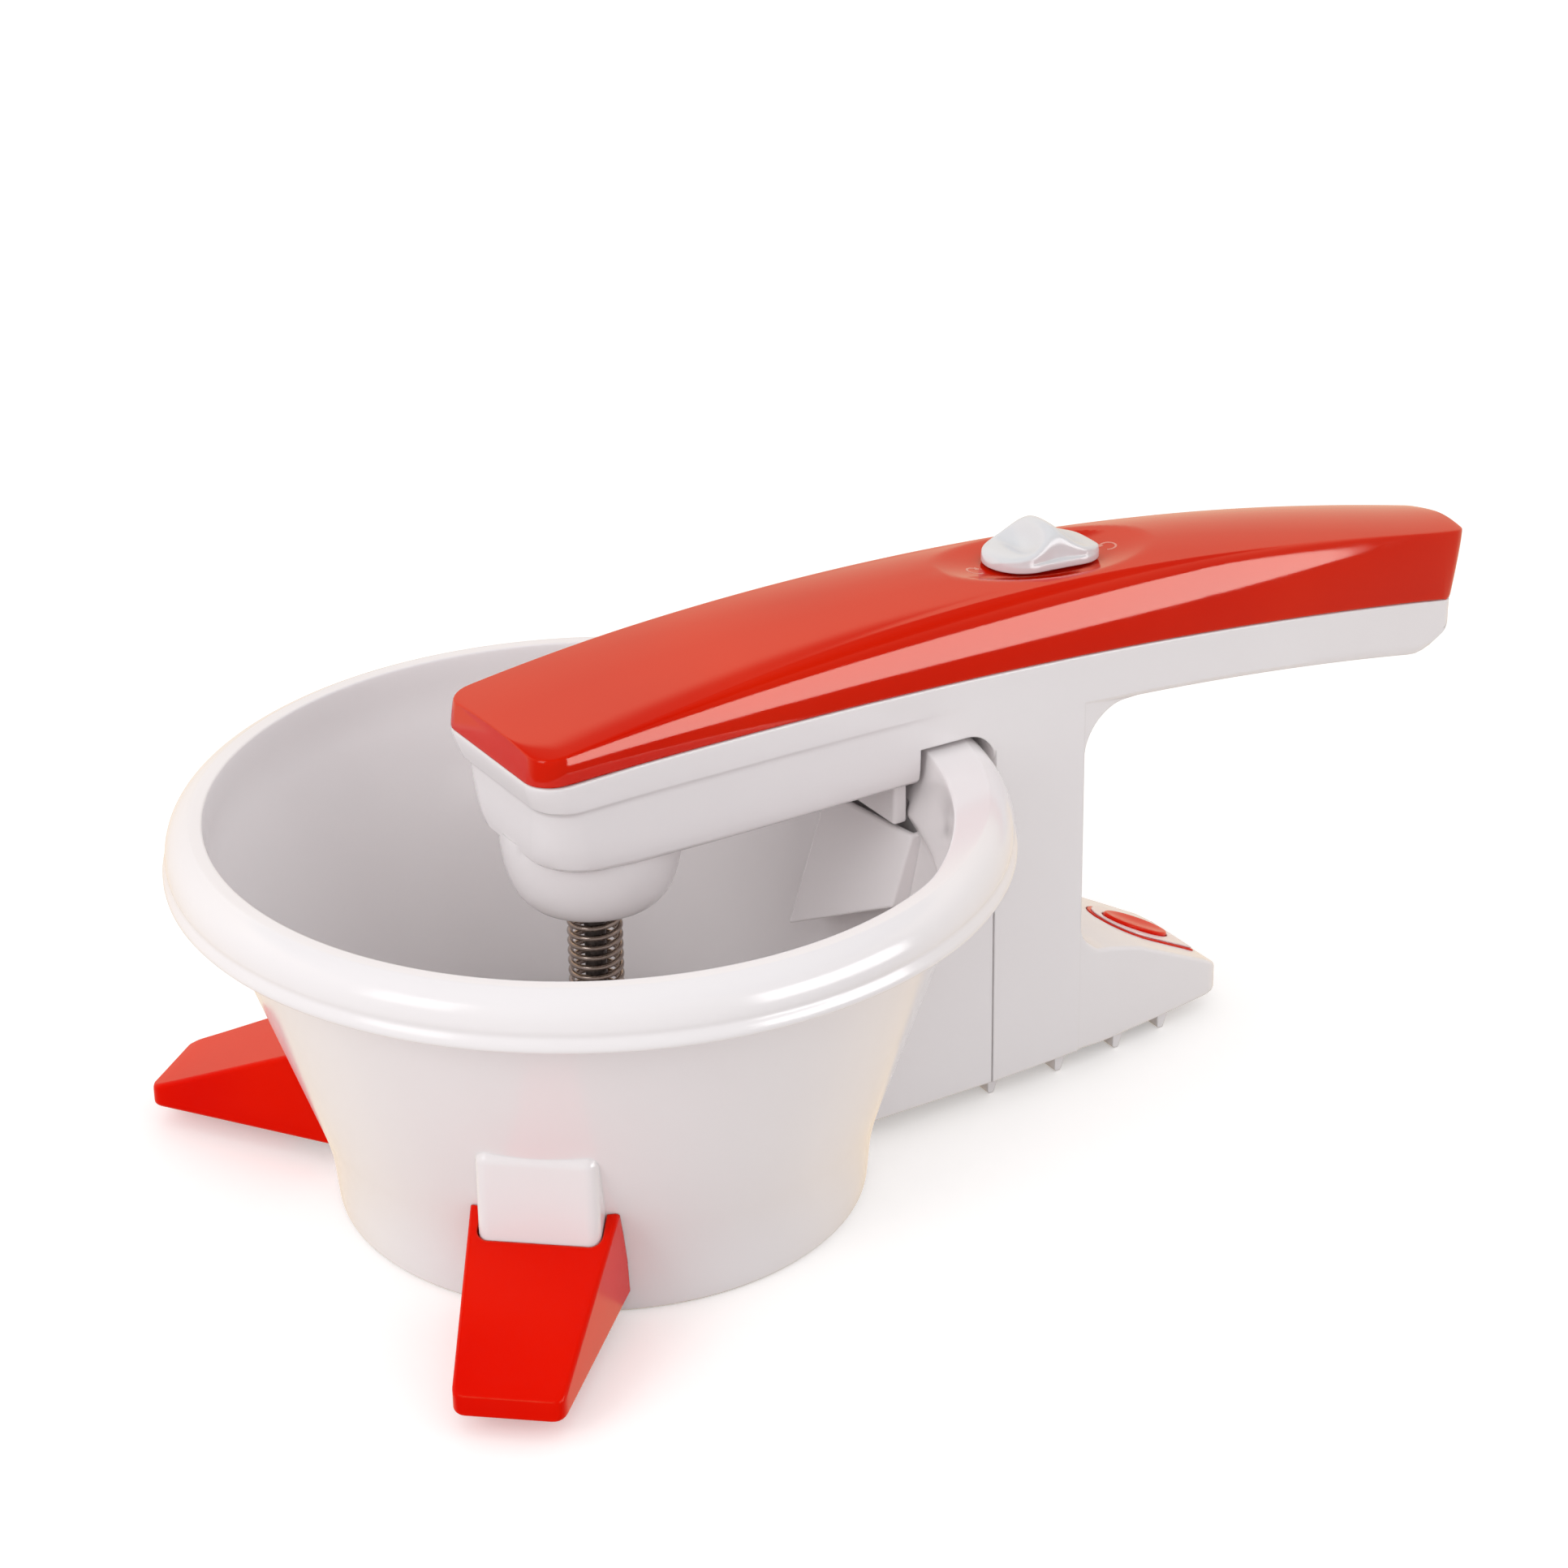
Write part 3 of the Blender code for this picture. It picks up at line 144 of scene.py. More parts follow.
def loft(name, rings, ends="fan", rows=None):
    """A closed solid through rings of equal count.

    The ends are closed by a "fan" or a "flat" face, or "joined" to each other. With rows, the
    first ring is closed by flat strips across it, from point rows[0] down to point rows[1].
    """
    bm = bmesh.new()
    loops = [[bm.verts.new(p) for p in ring] for ring in rings]
    count = len(rings[0])
    follow = loops[1:] + (loops[:1] if ends == "joined" else [])
    for a, b in zip(loops, follow):
        for i in range(count):
            j = (i + 1) % count
            bm.faces.new((a[i], a[j], b[j], b[i]))
    if rows:
        ring, half = loops[0], count // 2
        for i in range(*rows):
            start = 0 if i == rows[0] else i
            stop = half + 1 if i == rows[1] - 1 else i + 2
            left = ring[max(half + 1, count - stop + 1):count - start + 1]
            bm.faces.new(ring[start:stop] + left)
    open_ends = [] if ends == "joined" else loops[-1:] if rows else [loops[0], loops[-1]]
    for ring in open_ends:
        if ends == "flat":
            bm.faces.new(ring)
            continue
        centre = bm.verts.new(sum((v.co for v in ring), Vector()) / count)
        for i in range(count):
            bm.faces.new((ring[i], ring[(i + 1) % count], centre))
    return from_bm(name, bm)


def turned(name, profile, seg, at=(0, 0, 0)):
    """A solid turned about Z from (radius, z) points."""
    count = len(profile)
    on_axis = profile[0][0] == 0 and profile[-1][0] == 0
    edges = [(i, i + 1) for i in range(count - 1)] + ([] if on_axis else [(count - 1, 0)])
    mesh = bpy.data.meshes.new(name)
    mesh.from_pydata([(r * MM, 0, z * MM) for r, z in profile], edges, [])
    ob = link(name, mesh)
    screw = ob.modifiers.new("s", "SCREW")
    screw.steps = screw.render_steps = seg
    screw.use_merge_vertices, screw.merge_threshold = True, WELD
    ob.location = Vector(at) * MM
    return bake(ob)


def rod(name, r, z0, z1, seg, at):
    return turned(name, [(0, z1), (r, z1), (r, z0), (0, z0)], seg, at)


def span(half):
    return -half, half


def box(name, x, y, z, bevel=0.0, seg=3):
    bpy.ops.mesh.primitive_cube_add(size=1)
    ob = bpy.context.object
    ob.name = name
    ob.data.transform(Matrix.Diagonal((*((b - a) * MM for a, b in (x, y, z)), 1)))
    ob.data.transform(Matrix.Translation([(a + b) / 2 * MM for a, b in (x, y, z)]))
    if bevel:
        mod = ob.modifiers.new("v", "BEVEL")
        mod.width, mod.segments = bevel * MM, seg
    return bake(ob)


def bevelled(ob, width, seg=2, angle=40):
    mod = ob.modifiers.new("v", "BEVEL")
    mod.width, mod.segments = width * MM, seg
    mod.limit_method, mod.angle_limit = "ANGLE", radians(angle)
    mod.use_clamp_overlap = True
    return bake(ob)


def plate(name, outline, z0, z1, holes=(), place=Matrix()):
    """A flat outline with holes, filled and extruded between two heights."""
    curve = bpy.data.curves.new(name, "CURVE")
    curve.dimensions, curve.fill_mode = "2D", "BOTH"
    curve.extrude = (z1 - z0) / 2 * MM
    for loop in [outline, *holes]:
        spline = curve.splines.new("POLY")
        spline.points.add(len(loop) - 1)
        for p, (x, y) in zip(spline.points, loop):
            p.co = (x * MM, y * MM, 0, 1)
        spline.use_cyclic_u = True
    middle = Matrix.Translation((0, 0, (z0 + z1) / 2 * MM))
    return bake_at(link(name, curve), place @ middle)


def coil(name, r, wire, z0, z1, pitch, per_turn, place=Matrix()):
    """A round wire wound about Z, `per_turn` points to a turn."""
    curve = bpy.data.curves.new(name, "CURVE")
    curve.dimensions, curve.bevel_depth = "3D", wire * MM
    curve.bevel_resolution, curve.use_fill_caps = 4, True
    turns = (z1 - z0) / pitch
    count = int(turns * per_turn) + 1
    spline = curve.splines.new("POLY")
    spline.points.add(count - 1)
    for i, p in enumerate(spline.points):
        t = i / (count - 1)
        a = 2 * pi * turns * t
        p.co = (r * cos(a) * MM, r * sin(a) * MM, (z0 + (z1 - z0) * t) * MM, 1)
    return bake_at(link(name, curve), place)


def ellipse(rx, count, cx=0.0, cy=0.0, ry=None):
    ry = rx if ry is None else ry
    turns = [2 * pi * i / count for i in range(count)]
    return [(cx + rx * cos(a), cy + ry * sin(a)) for a in turns]


def arc(cx, cz, r, a0, a1, n):
    turns = [radians(a0 + (a1 - a0) * i / n) for i in range(n + 1)]
    return [(cx + r * cos(a), cz + r * sin(a)) for a in turns]


def bezier(p0, p1, p2, n):
    """n + 1 points along a quadratic curve from p0 to p2, pulled towards p1."""
    return [tuple((1 - t) ** 2 * p0[k] + 2 * t * (1 - t) * p1[k] + t * t * p2[k] for k in (0, 1))
            for t in (i / n for i in range(n + 1))]


def quarter(n):
    """n + 1 angles over a quarter turn."""
    return [radians(90.0 * k / n) for k in range(n + 1)]


def rounded_rect(x, w, z0, z1, r, n):
    """Ring across X of half-width w with rounded corners, n steps each; the low corners first."""
    ring = []
    for cy, cz, a0 in ((-w + r, z0 + r, 180), (w - r, z0 + r, 270),
                       (w - r, z1 - r, 0), (-w + r, z1 - r, 90)):
        turns = [radians(a0 + 90 * i / n) for i in range(n + 1)]
        ring += [(x, cy + r * cos(a), cz + r * sin(a)) for a in turns]
    return ring


def rounded_loft(name, stations, r, n=4):
    """Rounded rectangles of (x, half-width, low z, high z) along X."""
    return loft(name, [rounded_rect(x, w, z0, z1, min(r, (z1 - z0) * 0.3), n)
                       for x, w, z0, z1 in stations], "flat")


def side_prism(name, xz, half):
    """An outline in X and Z, extruded across Y."""
    return loft(name, [[(x, s * half, z) for x, z in xz] for s in (-1, 1)], "flat")


def smooth(t):
    t = max(0.0, min(1.0, t))
    return t * t * (3 - 2 * t)


def catmull_rom(knots, n):
    """Values through (t, value) knots, as n + 1 samples over the knots' range."""
    out = []
    t0, t1 = knots[0][0], knots[-1][0]
    for i in range(n + 1):
        t = t0 + (t1 - t0) * i / n
        k = max(j for j in range(len(knots) - 1) if knots[j][0] <= t + 1e-9)
        p1, p2 = knots[k], knots[k + 1]
        p0 = knots[k - 1] if k else p1
        p3 = knots[k + 2] if k + 2 < len(knots) else p2
        h = p2[0] - p1[0]
        m1 = (p2[1] - p0[1]) / max(1e-9, p2[0] - p0[0]) * h
        m2 = (p3[1] - p1[1]) / max(1e-9, p3[0] - p1[0]) * h
        u = (t - p1[0]) / h
        out.append((t, (2 * u ** 3 - 3 * u * u + 1) * p1[1] + (u ** 3 - 2 * u * u + u) * m1
                    + (-2 * u ** 3 + 3 * u * u) * p2[1] + (u ** 3 - u * u) * m2))
    return out


def finish(ob, name, body, mat, cad, sharp=32):
    weld = 2 * WELD
    mesh = ob.data
    bm = bmesh.new()
    bm.from_mesh(mesh)
    bmesh.ops.remove_doubles(bm, verts=bm.verts, dist=weld)
    bmesh.ops.dissolve_degenerate(bm, edges=bm.edges, dist=weld)
    bm.to_mesh(mesh)
    bm.free()
    mesh.transform(Matrix.Translation((AXIS_X, 0, 0)))
    ob.name = mesh.name = name
    mesh.materials.append(mat)
    mesh.shade_smooth()
    mesh.set_sharp_from_angle(angle=radians(sharp))
    ob.modifiers.new("w", "WEIGHTED_NORMAL").keep_sharp = True
    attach(ob, body)
    if cad:
        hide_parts(*cad)


# --- materials ----------------------------------------------------------------
class Shader:
    """Adds nodes to one tree. Inputs are given as values, or as sockets to link from."""

    def __init__(self, tree):
        self.nodes, self.links = tree.nodes, tree.links

    def feed(self, node, inputs):
        for key, value in inputs.items():
            socket = node.inputs[key]
            if isinstance(value, bpy.types.NodeSocket):
                self.links.new(value, socket)
            else:
                socket.default_value = (*value, 1) if socket.type == "RGBA" else value

    def add(self, kind, inputs, **settings):
        node = self.nodes.new("ShaderNode" + kind)
        for key, value in settings.items():
            setattr(node, key, value)
        self.feed(node, inputs)
        return node

    def object_coords(self):
        return self.add("TexCoord", {}).outputs["Object"]

    def noise(self, coords, scale, detail=3.0, rough=0.55):
        return self.add("TexNoise", {"Scale": scale, "Detail": detail, "Roughness": rough,
                                     "Vector": coords}).outputs["Fac"]

    def remap(self, value, to, source=(0.3, 0.7)):
        return self.add("MapRange", {
            "From Min": source[0], "From Max": source[1],
            "To Min": to[0], "To Max": to[1], "Value": value}).outputs["Result"]

    def mix(self, fac, a, b):
        return self.add("Mix", {6: a, 7: b, 0: fac}, data_type="RGBA").outputs[2]

    def vector(self, operation, inputs):
        return self.add("VectorMath", inputs, operation=operation)

    def edge_mask(self, radius):
        """0 on flats and towards 1 along edges, where the rounded normal leans; and that normal."""
        bevel = self.add("Bevel", {"Radius": radius}, samples=6)
        face = self.add("NewGeometry", {})
        normal = bevel.outputs["Normal"]
        dot = self.vector("DOT_PRODUCT", {0: normal, 1: face.outputs["Normal"]})
        edge_share = self.remap(dot.outputs["Value"], to=(1.0, 0.0), source=(0.86, 0.995))
        return edge_share, normal

    def bump(self, height, normal, distance):
        return self.add("Bump", {"Distance": distance, "Height": height,
                                 "Normal": normal}).outputs["Normal"]


def new_material(name):
    mat = bpy.data.materials.new(name)
    mat.use_nodes = True
    return mat, Shader(mat.node_tree), mat.node_tree.nodes["Principled BSDF"]


BUMP_UNIT = 1e-4                # metres of relief for a bump of 1
DIM = (1.0, 1.0, 1.0)


def plastic(name, rgb, tint, rough, bump, grain, edge, wear_and_highlight_amount, radius=0.0006, sss=0.0,
            specular=0.5, spec_tint=(1.0, 1.0, 1.0)):
    """Moulded plastic: fine grain, faint flow marks in colour and gloss, and an edge colour along
    the edges. On most pieces that edge colour is rubbing wear; on the red feet it is a painted
    highlight.
    """
    mat, sh, bsdf = new_material(name)
    coords = sh.object_coords()
    flow = sh.noise(coords, scale=14.0, detail=2.0)
    fine = sh.noise(coords, scale=grain, rough=0.6)
    scuff = sh.noise(coords, scale=130.0, detail=5.0, rough=0.7)
    edge_share, normal = sh.edge_mask(radius)
    body = sh.mix(sh.remap(flow, to=(0.0, 1.0)), rgb, tint)
    # edges take the edge colour: rubbing wear, and on the red feet a painted highlight standing in
    # for gloss
    wear_and_highlight_mix = sh.add("Math", {0: edge_share, 1: sh.remap(scuff, to=(0.25 * wear_and_highlight_amount, wear_and_highlight_amount))},
                    operation="MULTIPLY").outputs[0]
    dulled = sh.add("Math", {0: wear_and_highlight_mix, 1: 0.25, 2: sh.remap(scuff, rough, source=(0.35, 0.75))},
                    operation="MULTIPLY_ADD").outputs[0]
    sh.feed(bsdf, {
        "Base Color": sh.mix(wear_and_highlight_mix, body, edge),
        "Roughness": dulled,
        "Normal": sh.bump(fine, normal, bump * BUMP_UNIT),
        "IOR": 1.5,
        "Specular IOR Level": specular,
        "Specular Tint": spec_tint,
        "Coat Roughness": 0.06,
    })
    if sss:
        sh.feed(bsdf, {"Subsurface Weight": sss, "Subsurface Radius": (1.0, 0.7, 0.6),
                       "Subsurface Scale": 0.002})
    return mat


# how the streak noise is scaled in x, y and z, to draw it out the other way
AROUND, ALONG_X, FLAT = (1.0, 1.0, 12.0), (0.6, 12.0, 12.0), (8.0, 1.0, 8.0)


def steel(name, rgb, dark, rough, stretch, scale, bump=0.04, spots=0.0, radius=0.0003):
    """Drawn or brushed metal: streaks, light staining, bright rubbed edges."""
    mat, sh, bsdf = new_material(name)
    coords = sh.object_coords()
    drawn = sh.add("Mapping", {"Vector": coords, "Scale": stretch}).outputs["Vector"]
    streak = sh.noise(drawn, scale=scale, detail=4.0, rough=0.7)
    stain = sh.noise(coords, scale=55.0, detail=4.0, rough=0.6)
    edge_share, normal = sh.edge_mask(radius)
    stained = tuple(0.72 * c for c in rgb)
    bright = tuple(min(1.0, 1.25 * c + 0.05) for c in rgb)
    col = sh.mix(sh.remap(streak, to=(0.0, 0.55)), rgb, dark)
    col = sh.mix(sh.remap(stain, to=(0.0, 0.5 + spots), source=(0.5, 0.8)), col, stained)
    sh.feed(bsdf, {
        "Base Color": sh.mix(edge_share, col, bright),
        "Metallic": 1.0,
        "Roughness": sh.remap(streak, rough),
        "Normal": sh.bump(streak, normal, bump * BUMP_UNIT),
    })
    return mat


def board_material():
    """Green solder mask in a brick pattern with pale joints, dusty, with tan edges."""
    mat, sh, bsdf = new_material("board_green")
    coords = sh.object_coords()
    bricks = sh.add("TexBrick", {
        "Scale": 160.0, "Mortar Size": 0.035, "Color1": (0.008, 0.12, 0.045),
        "Color2": (0.010, 0.15, 0.055), "Mortar": (0.06, 0.30, 0.12), "Vector": coords})
    dust = sh.noise(coords, scale=260.0, detail=4.0, rough=0.7)
    edge_share, normal = sh.edge_mask(0.0003)
    dusty = sh.mix(sh.remap(dust, to=(0.0, 0.35), source=(0.45, 0.8)),
                   bricks.outputs["Color"], (0.03, 0.22, 0.10))
    sh.feed(bsdf, {
        "Base Color": sh.mix(edge_share, dusty, (0.45, 0.40, 0.24)),
        "Roughness": sh.remap(dust, to=(0.25, 0.45)),
        "Normal": sh.bump(bricks.outputs["Fac"], normal, 0.00003),
    })
    return mat


WHITE = plastic("white_gloss", rgb=(0.915, 0.87, 0.87), tint=(0.935, 0.895, 0.895),
                rough=(0.13, 0.19), bump=0.012, grain=1400.0,
                edge=(0.92, 0.90, 0.89), wear_and_highlight_amount=0.3, radius=0.0007)
RED = plastic("red_gloss", rgb=(0.66, 0.006, 0.0), tint=(0.72, 0.012, 0.0),
              rough=(0.05, 0.09), bump=0.004, grain=1600.0,
              edge=(0.95, 0.10, 0.03), wear_and_highlight_amount=0.35, radius=0.0007, spec_tint=(1.0, 0.90, 0.78))
# red feet (also the release trim and pad): low real gloss, and a bright edge colour strongly mixed
# in as a painted highlight along their edges
RED_FOOT = plastic("red_foot", rgb=(0.78, 0.003, 0.0), tint=(0.86, 0.008, 0.0),
                   rough=(0.14, 0.22), bump=0.01, grain=1200.0, edge=(1.0, 0.12, 0.05),
                   wear_and_highlight_amount=0.6, radius=0.0008, specular=0.12, spec_tint=(1.0, 0.7, 0.5))
KNOB_WHITE = plastic("white_knob", rgb=(0.74, 0.74, 0.755), tint=(0.78, 0.775, 0.785),
                     rough=(0.16, 0.24), bump=0.012, grain=1400.0,
                     edge=(0.95, 0.95, 0.95), wear_and_highlight_amount=0.3)
PALE = plastic("pale_tongue", rgb=(0.93, 0.80, 0.79), tint=(0.95, 0.85, 0.84),
               rough=(0.2, 0.3), bump=0.01, grain=1200.0, edge=(1, 0.9, 0.9), wear_and_highlight_amount=0.3)
MARK = plastic("pale_print", rgb=(0.85, 0.27, 0.20), tint=(0.88, 0.33, 0.26),
               rough=(0.3, 0.4), bump=0.01, grain=2400.0,
               edge=(1, 0.8, 0.75), wear_and_highlight_amount=0.2, radius=0.0002)
NYLON = plastic("nylon", rgb=(0.78, 0.75, 0.66), tint=(0.84, 0.82, 0.74),
                rough=(0.38, 0.52), bump=0.05, grain=1800.0,
                edge=(0.92, 0.91, 0.86), wear_and_highlight_amount=0.5, radius=0.0004, sss=0.1)
BLACK = plastic("black_moulding", rgb=(0.018, 0.018, 0.020), tint=(0.030, 0.030, 0.031),
                rough=(0.35, 0.5), bump=0.08, grain=2200.0,
                edge=(0.14, 0.14, 0.14), wear_and_highlight_amount=0.6, radius=0.0003)
WRAP = plastic("cell_wrap", rgb=(0.03, 0.10, 0.36), tint=(0.05, 0.15, 0.46),
               rough=(0.24, 0.36), bump=0.06, grain=700.0,
               edge=(0.35, 0.45, 0.65), wear_and_highlight_amount=0.4, radius=0.0004)
SHEET = steel("sheet_steel", rgb=(0.62, 0.61, 0.60), dark=(0.45, 0.45, 0.45),
              rough=(0.16, 0.32), stretch=FLAT, scale=260.0)
SPRING = steel("spring_steel", rgb=(0.46, 0.385, 0.34), dark=(0.22, 0.175, 0.15),
               rough=(0.17, 0.32), stretch=AROUND, scale=500.0, bump=0.08, spots=0.2,
               radius=0.0002)
SHAFT_DARK = steel("shaft_steel", rgb=(0.17, 0.15, 0.14), dark=(0.09, 0.08, 0.075),
                   rough=(0.25, 0.42), stretch=AROUND, scale=420.0, bump=0.05, spots=0.1)
ZINC = steel("zinc_steel", rgb=(0.66, 0.66, 0.67), dark=(0.46, 0.47, 0.49),
             rough=(0.2, 0.36), stretch=AROUND, scale=420.0, bump=0.05, spots=0.1)
ZINC_X = steel("zinc_steel_x", rgb=(0.60, 0.60, 0.62), dark=(0.42, 0.43, 0.45),
               rough=(0.22, 0.4), stretch=ALONG_X, scale=420.0, bump=0.05, spots=0.1)
BRONZE = steel("bronze_bush", rgb=(0.70, 0.46, 0.20), dark=(0.46, 0.29, 0.12),
               rough=(0.3, 0.5), stretch=AROUND, scale=500.0, bump=0.06, spots=0.2)
BOARD = board_material()

# --- bowl ---------------------------------------------------------------------
KNEE_R, KNEE_Z = 74.6, 18.0             # where the straight wall turns into the base
CONE_R, CONE_Z = 102.5, 100.0           # a second point on the straight wall's outside
RIM_Z, LAND_R0, LAND_R1 = 114.8, 102.3, 106.0       # the rim's flat top
BACK_CIRCLE_R, BACK_CIRCLE_SHIFT = 113.7, 20.7      # the land's inner edge at the back
WALL = 2.7
BACK_X = 111.7                          # flat back of bowl and bracket
BRACKET_Y = 27.2
BOWL_COLUMNS = 320
POST_W, POST_R, POST_Z = 16.0, 88.0, 56.0           # blocks on the bowl that the feet fit over
FOOT_AZ = 130.0                         # bearing of the feet from +X, either way
# arch of the housing's opening over the bowl's back rim: centre x and z
ARCH_C, ARCH_R = (101.9, 106.4), 10.0
ARCH_TOP = ARCH_C[1] + ARCH_R
ARCH_GAP = 0.22
# (radius, z) under the rim, from the skirt's outside, round its lip and back to the wall
SKIRT = [
    (112.72, 105.7), (112.62, 105.2), (112.52, 104.9), (112.48, 104.6), (112.5, 104.3),
    (112.62, 104.0), (112.85, 103.6), (113.15, 103.1), (113.4, 102.5), (113.6, 101.9),
    (113.6, 101.3), (113.5, 100.8), (113.2, 100.4), (112.8, 100.25), (112.4, 100.35),
    (112.1, 100.7), (111.8, 101.4), (111.2, 102.6), (110.6, 103.9), (110.3, 105.4),
    (109.6, 106.8), (108.3, 107.7), (106.8, 107.6), (105.5, 106.4), (104.6, 104.6),
]
# (radius, z) round the base's standing ring and the step inside it
BASE_RING = [
    (73.3, 4.0), (73.05, 1.4), (72.9, 0.7), (72.4, 0.18), (71.9, 0.0), (70.9, 0.0), (70.5, 0.3),
    (70.4, 0.8), (70.4, 5.0), (66.4, 5.8), (66.0, 6.2), (66.0, 8.4), (66.4, 8.8), (71.3, 8.8),
    (71.65, 9.2),
]
INNER_ZS = (18.0, 24.0, 32.0, 44.0, 58.0, 72.0, 84.0, 88.5, 90.0, 91.5, 93.0, 94.5, 95.5, 96.5,
            99.0, 103.0, 107.0, 110.5, 113.2)
# plan (x, y) of the five-sided pocket at z = 90, and what each corner's x and y gain per grow
POCKET_PLAN = [((79.6, 9.5), (1, -0.6)), ((84.2, -27), (1, 1)), ((96.0, -27), (0, 1)),
               ((99.4, 17), (0, -1)), ((91.0, 17), (1, -1))]


def cone_r(z):
    """Radius of the straight wall's outside."""
    return KNEE_R + (CONE_R - KNEE_R) * (z - KNEE_Z) / (CONE_Z - KNEE_Z)


def land_growth(az):
    """How much further the rim's land reaches inwards at the back, where its inner edge is a
    wider circle set forwards; eased into zero elsewhere."""
    c = BACK_CIRCLE_SHIFT * cos(radians(az))
    t = LAND_R0 + c - sqrt(c * c - BACK_CIRCLE_SHIFT ** 2 + BACK_CIRCLE_R ** 2)
    return 0.5 * (t + sqrt(t * t + 0.5))


def band_share(z):
    """Share of the land's growth that the inner wall takes at a height."""
    low = max(0.0, min(1.0, (z - 40.0) / 50.0))
    return low ** 1.6 * 0.55 + 0.45 * smooth((z - 89.0) / 6.5)


OUTSIDE = [
    (104.6, RIM_Z), (LAND_R1 - 0.1, RIM_Z), (LAND_R1 + 0.25, RIM_Z - 0.07),
    *bezier((LAND_R1 + 0.55, RIM_Z - 0.25), (112.3, 112.5), (112.75, 106.3), 16),
    *SKIRT,
    *((cone_r(z), z) for z in (102.0, 98.0, 86.0, 70.0, 54.0, 38.0, 30.0)),
    *bezier((cone_r(27.0), 27.0), (KNEE_R, KNEE_Z), (73.75, 9.0), 8),
    *BASE_RING,
    (cone_r(KNEE_Z) - WALL - 0.1, KNEE_Z - 4),
]


def bowl_column(az):
    """Closed profile at one bearing: down the outside, then up the inside."""
    growth = land_growth(az)
    r_in = LAND_R0 - growth
    points = [(r_in + 0.75, RIM_Z)] + OUTSIDE
    for z in INNER_ZS:
        if z <= 103:
            r = cone_r(z) - WALL
        else:
            r = 100.8 + (LAND_R0 - 100.8) * (z - 103) / 11.8
        points.append((r - growth * band_share(z), z))
    points += [(r_in + 0.03, 114.2), (r_in + 0.14, 114.55), (r_in + 0.4, 114.75)]
    a = radians(az)
    return [(r * cos(a), r * sin(a), z) for r, z in points]


def solid_cone(name, grow):
    """The bowl's outside as a solid, grown or shrunk."""
    return turned(name, [
        (0, 130.0), (cone_r(130) + grow, 130.0), (cone_r(KNEE_Z + 9) + grow, KNEE_Z + 9),
        (KNEE_R + grow + 0.6, KNEE_Z), (73.75 + grow, 7.5), (73.3 + grow, -5.0), (0, -5.0)], 256)


def back_bracket():
    shell = box("bracket", (62, BACK_X + 1.5), span(BRACKET_Y), (5.0, 104.0), 1.0)
    shell = cut(shell, solid_cone("inside", -1.4))
    hollow = box("hollow", (60, BACK_X + 3), span(BRACKET_Y - 2.4), (7.4, 99.0), 1.5)
    return cut(shell, cut(hollow, solid_cone("keep", 0.6)))


def swing_to_foot(ob, side):
    return bake_at(ob, Matrix.Rotation(radians(FOOT_AZ * side), 4, "Z"))


def pocket_loft(name, low_zs, high_z, grow):
    """Five-sided prism that leans out with the bowl's wall; each low corner has its height."""
    rings = []
    for zs in (low_zs, (high_z,) * 5):
        plan = [(x + grow * gx, y + grow * gy) for (x, y), (gx, gy) in POCKET_PLAN]
        rings.append([(x - (90.0 - z) * 0.34, y, z) for (x, y), z in zip(plan, zs)])
    return loft(name, rings, "flat")


def outside_of(offset):
    """Everything beyond the wall's inside moved out by an offset."""
    inner = [(cone_r(z) - WALL + offset, z) for z in (0.0, 130.0)]
    return turned("clip", [(200, 130.0), (200, 0.0), *inner], 256)


def build_bowl():
    bearings = [(360.0 * i / BOWL_COLUMNS + 180) % 360 - 180 for i in range(BOWL_COLUMNS)]
    bowl = loft("bowl_fine", [bowl_column(az) for az in bearings], "joined")
    bowl = join(bowl, back_bracket())
    for side in (-1, 1):
        post = box("post", (66, POST_R), span(POST_W), (8.0, POST_Z), 3.4, 6)
        bowl = join(bowl, cut(swing_to_foot(post, side), solid_cone("trim", -1.3)))
    outer = bevelled(pocket_loft("outer_pocket", (53.0, 71.0, 70.0, 60.0, 56.0), 91.0, 0), 0.8, 3)
    inner = pocket_loft("inner_pocket", (58.0, 75.0, 74.0, 64.0, 61.0), 98.0, 1.7)
    outer = cut(outer, outside_of(1.2))
    inner = cut(inner, outside_of(-4.0))
    bowl = cut(join(bowl, outer), inner)
    bowl = cut(bowl, box("flat", (BACK_X, 140), span(60), (-10, 140)))
    # the rim's back corner follows the arch of the housing's opening
    arch = [(80.0, 90.0), (80.0, ARCH_TOP - ARCH_GAP),
            *arc(*ARCH_C, ARCH_R - ARCH_GAP, 90, 0, 14), (BACK_X + 0.3, 90.0)]
    notch = box("notch", (95.0, 125.0), span(29.6), (103.0, 125.0))
    bowl = cut(bowl, cut(notch, side_prism("arch_in", arch, 40.0)))
    finish(bowl, "bowl_shell", "bowl", WHITE, ["bowl"], 30)


# --- feet ------------------------------------------------------------------------
FOOT_R0, FOOT_R1 = 73.6, 131.0          # distances from the axis at root and tip
FOOT_W0, FOOT_W1 = 20.0, 14.3           # half-widths there
FOOT_Z0, FOOT_TIP_Z = 6.0, 12.0
FOOT_TOP_R, FOOT_TOP_Z = 80.0, 34.3     # a point on the sloping top
FOOT_ROUND = 1.3
FOOT_STATIONS = (68.0, 74.0, 80.0, 86.0, 92.0, 98.0, 104.0, 110.0, 116.0, 122.0, 125.8)


def foot_top(r):
    rise = FOOT_TOP_Z - FOOT_TIP_Z
    return FOOT_TIP_Z + rise * (FOOT_R1 - r) / (FOOT_R1 - FOOT_TOP_R)


def foot_w(r):
    return FOOT_W1 + (FOOT_W0 - FOOT_W1) * (FOOT_R1 - r) / (FOOT_R1 - FOOT_R0)


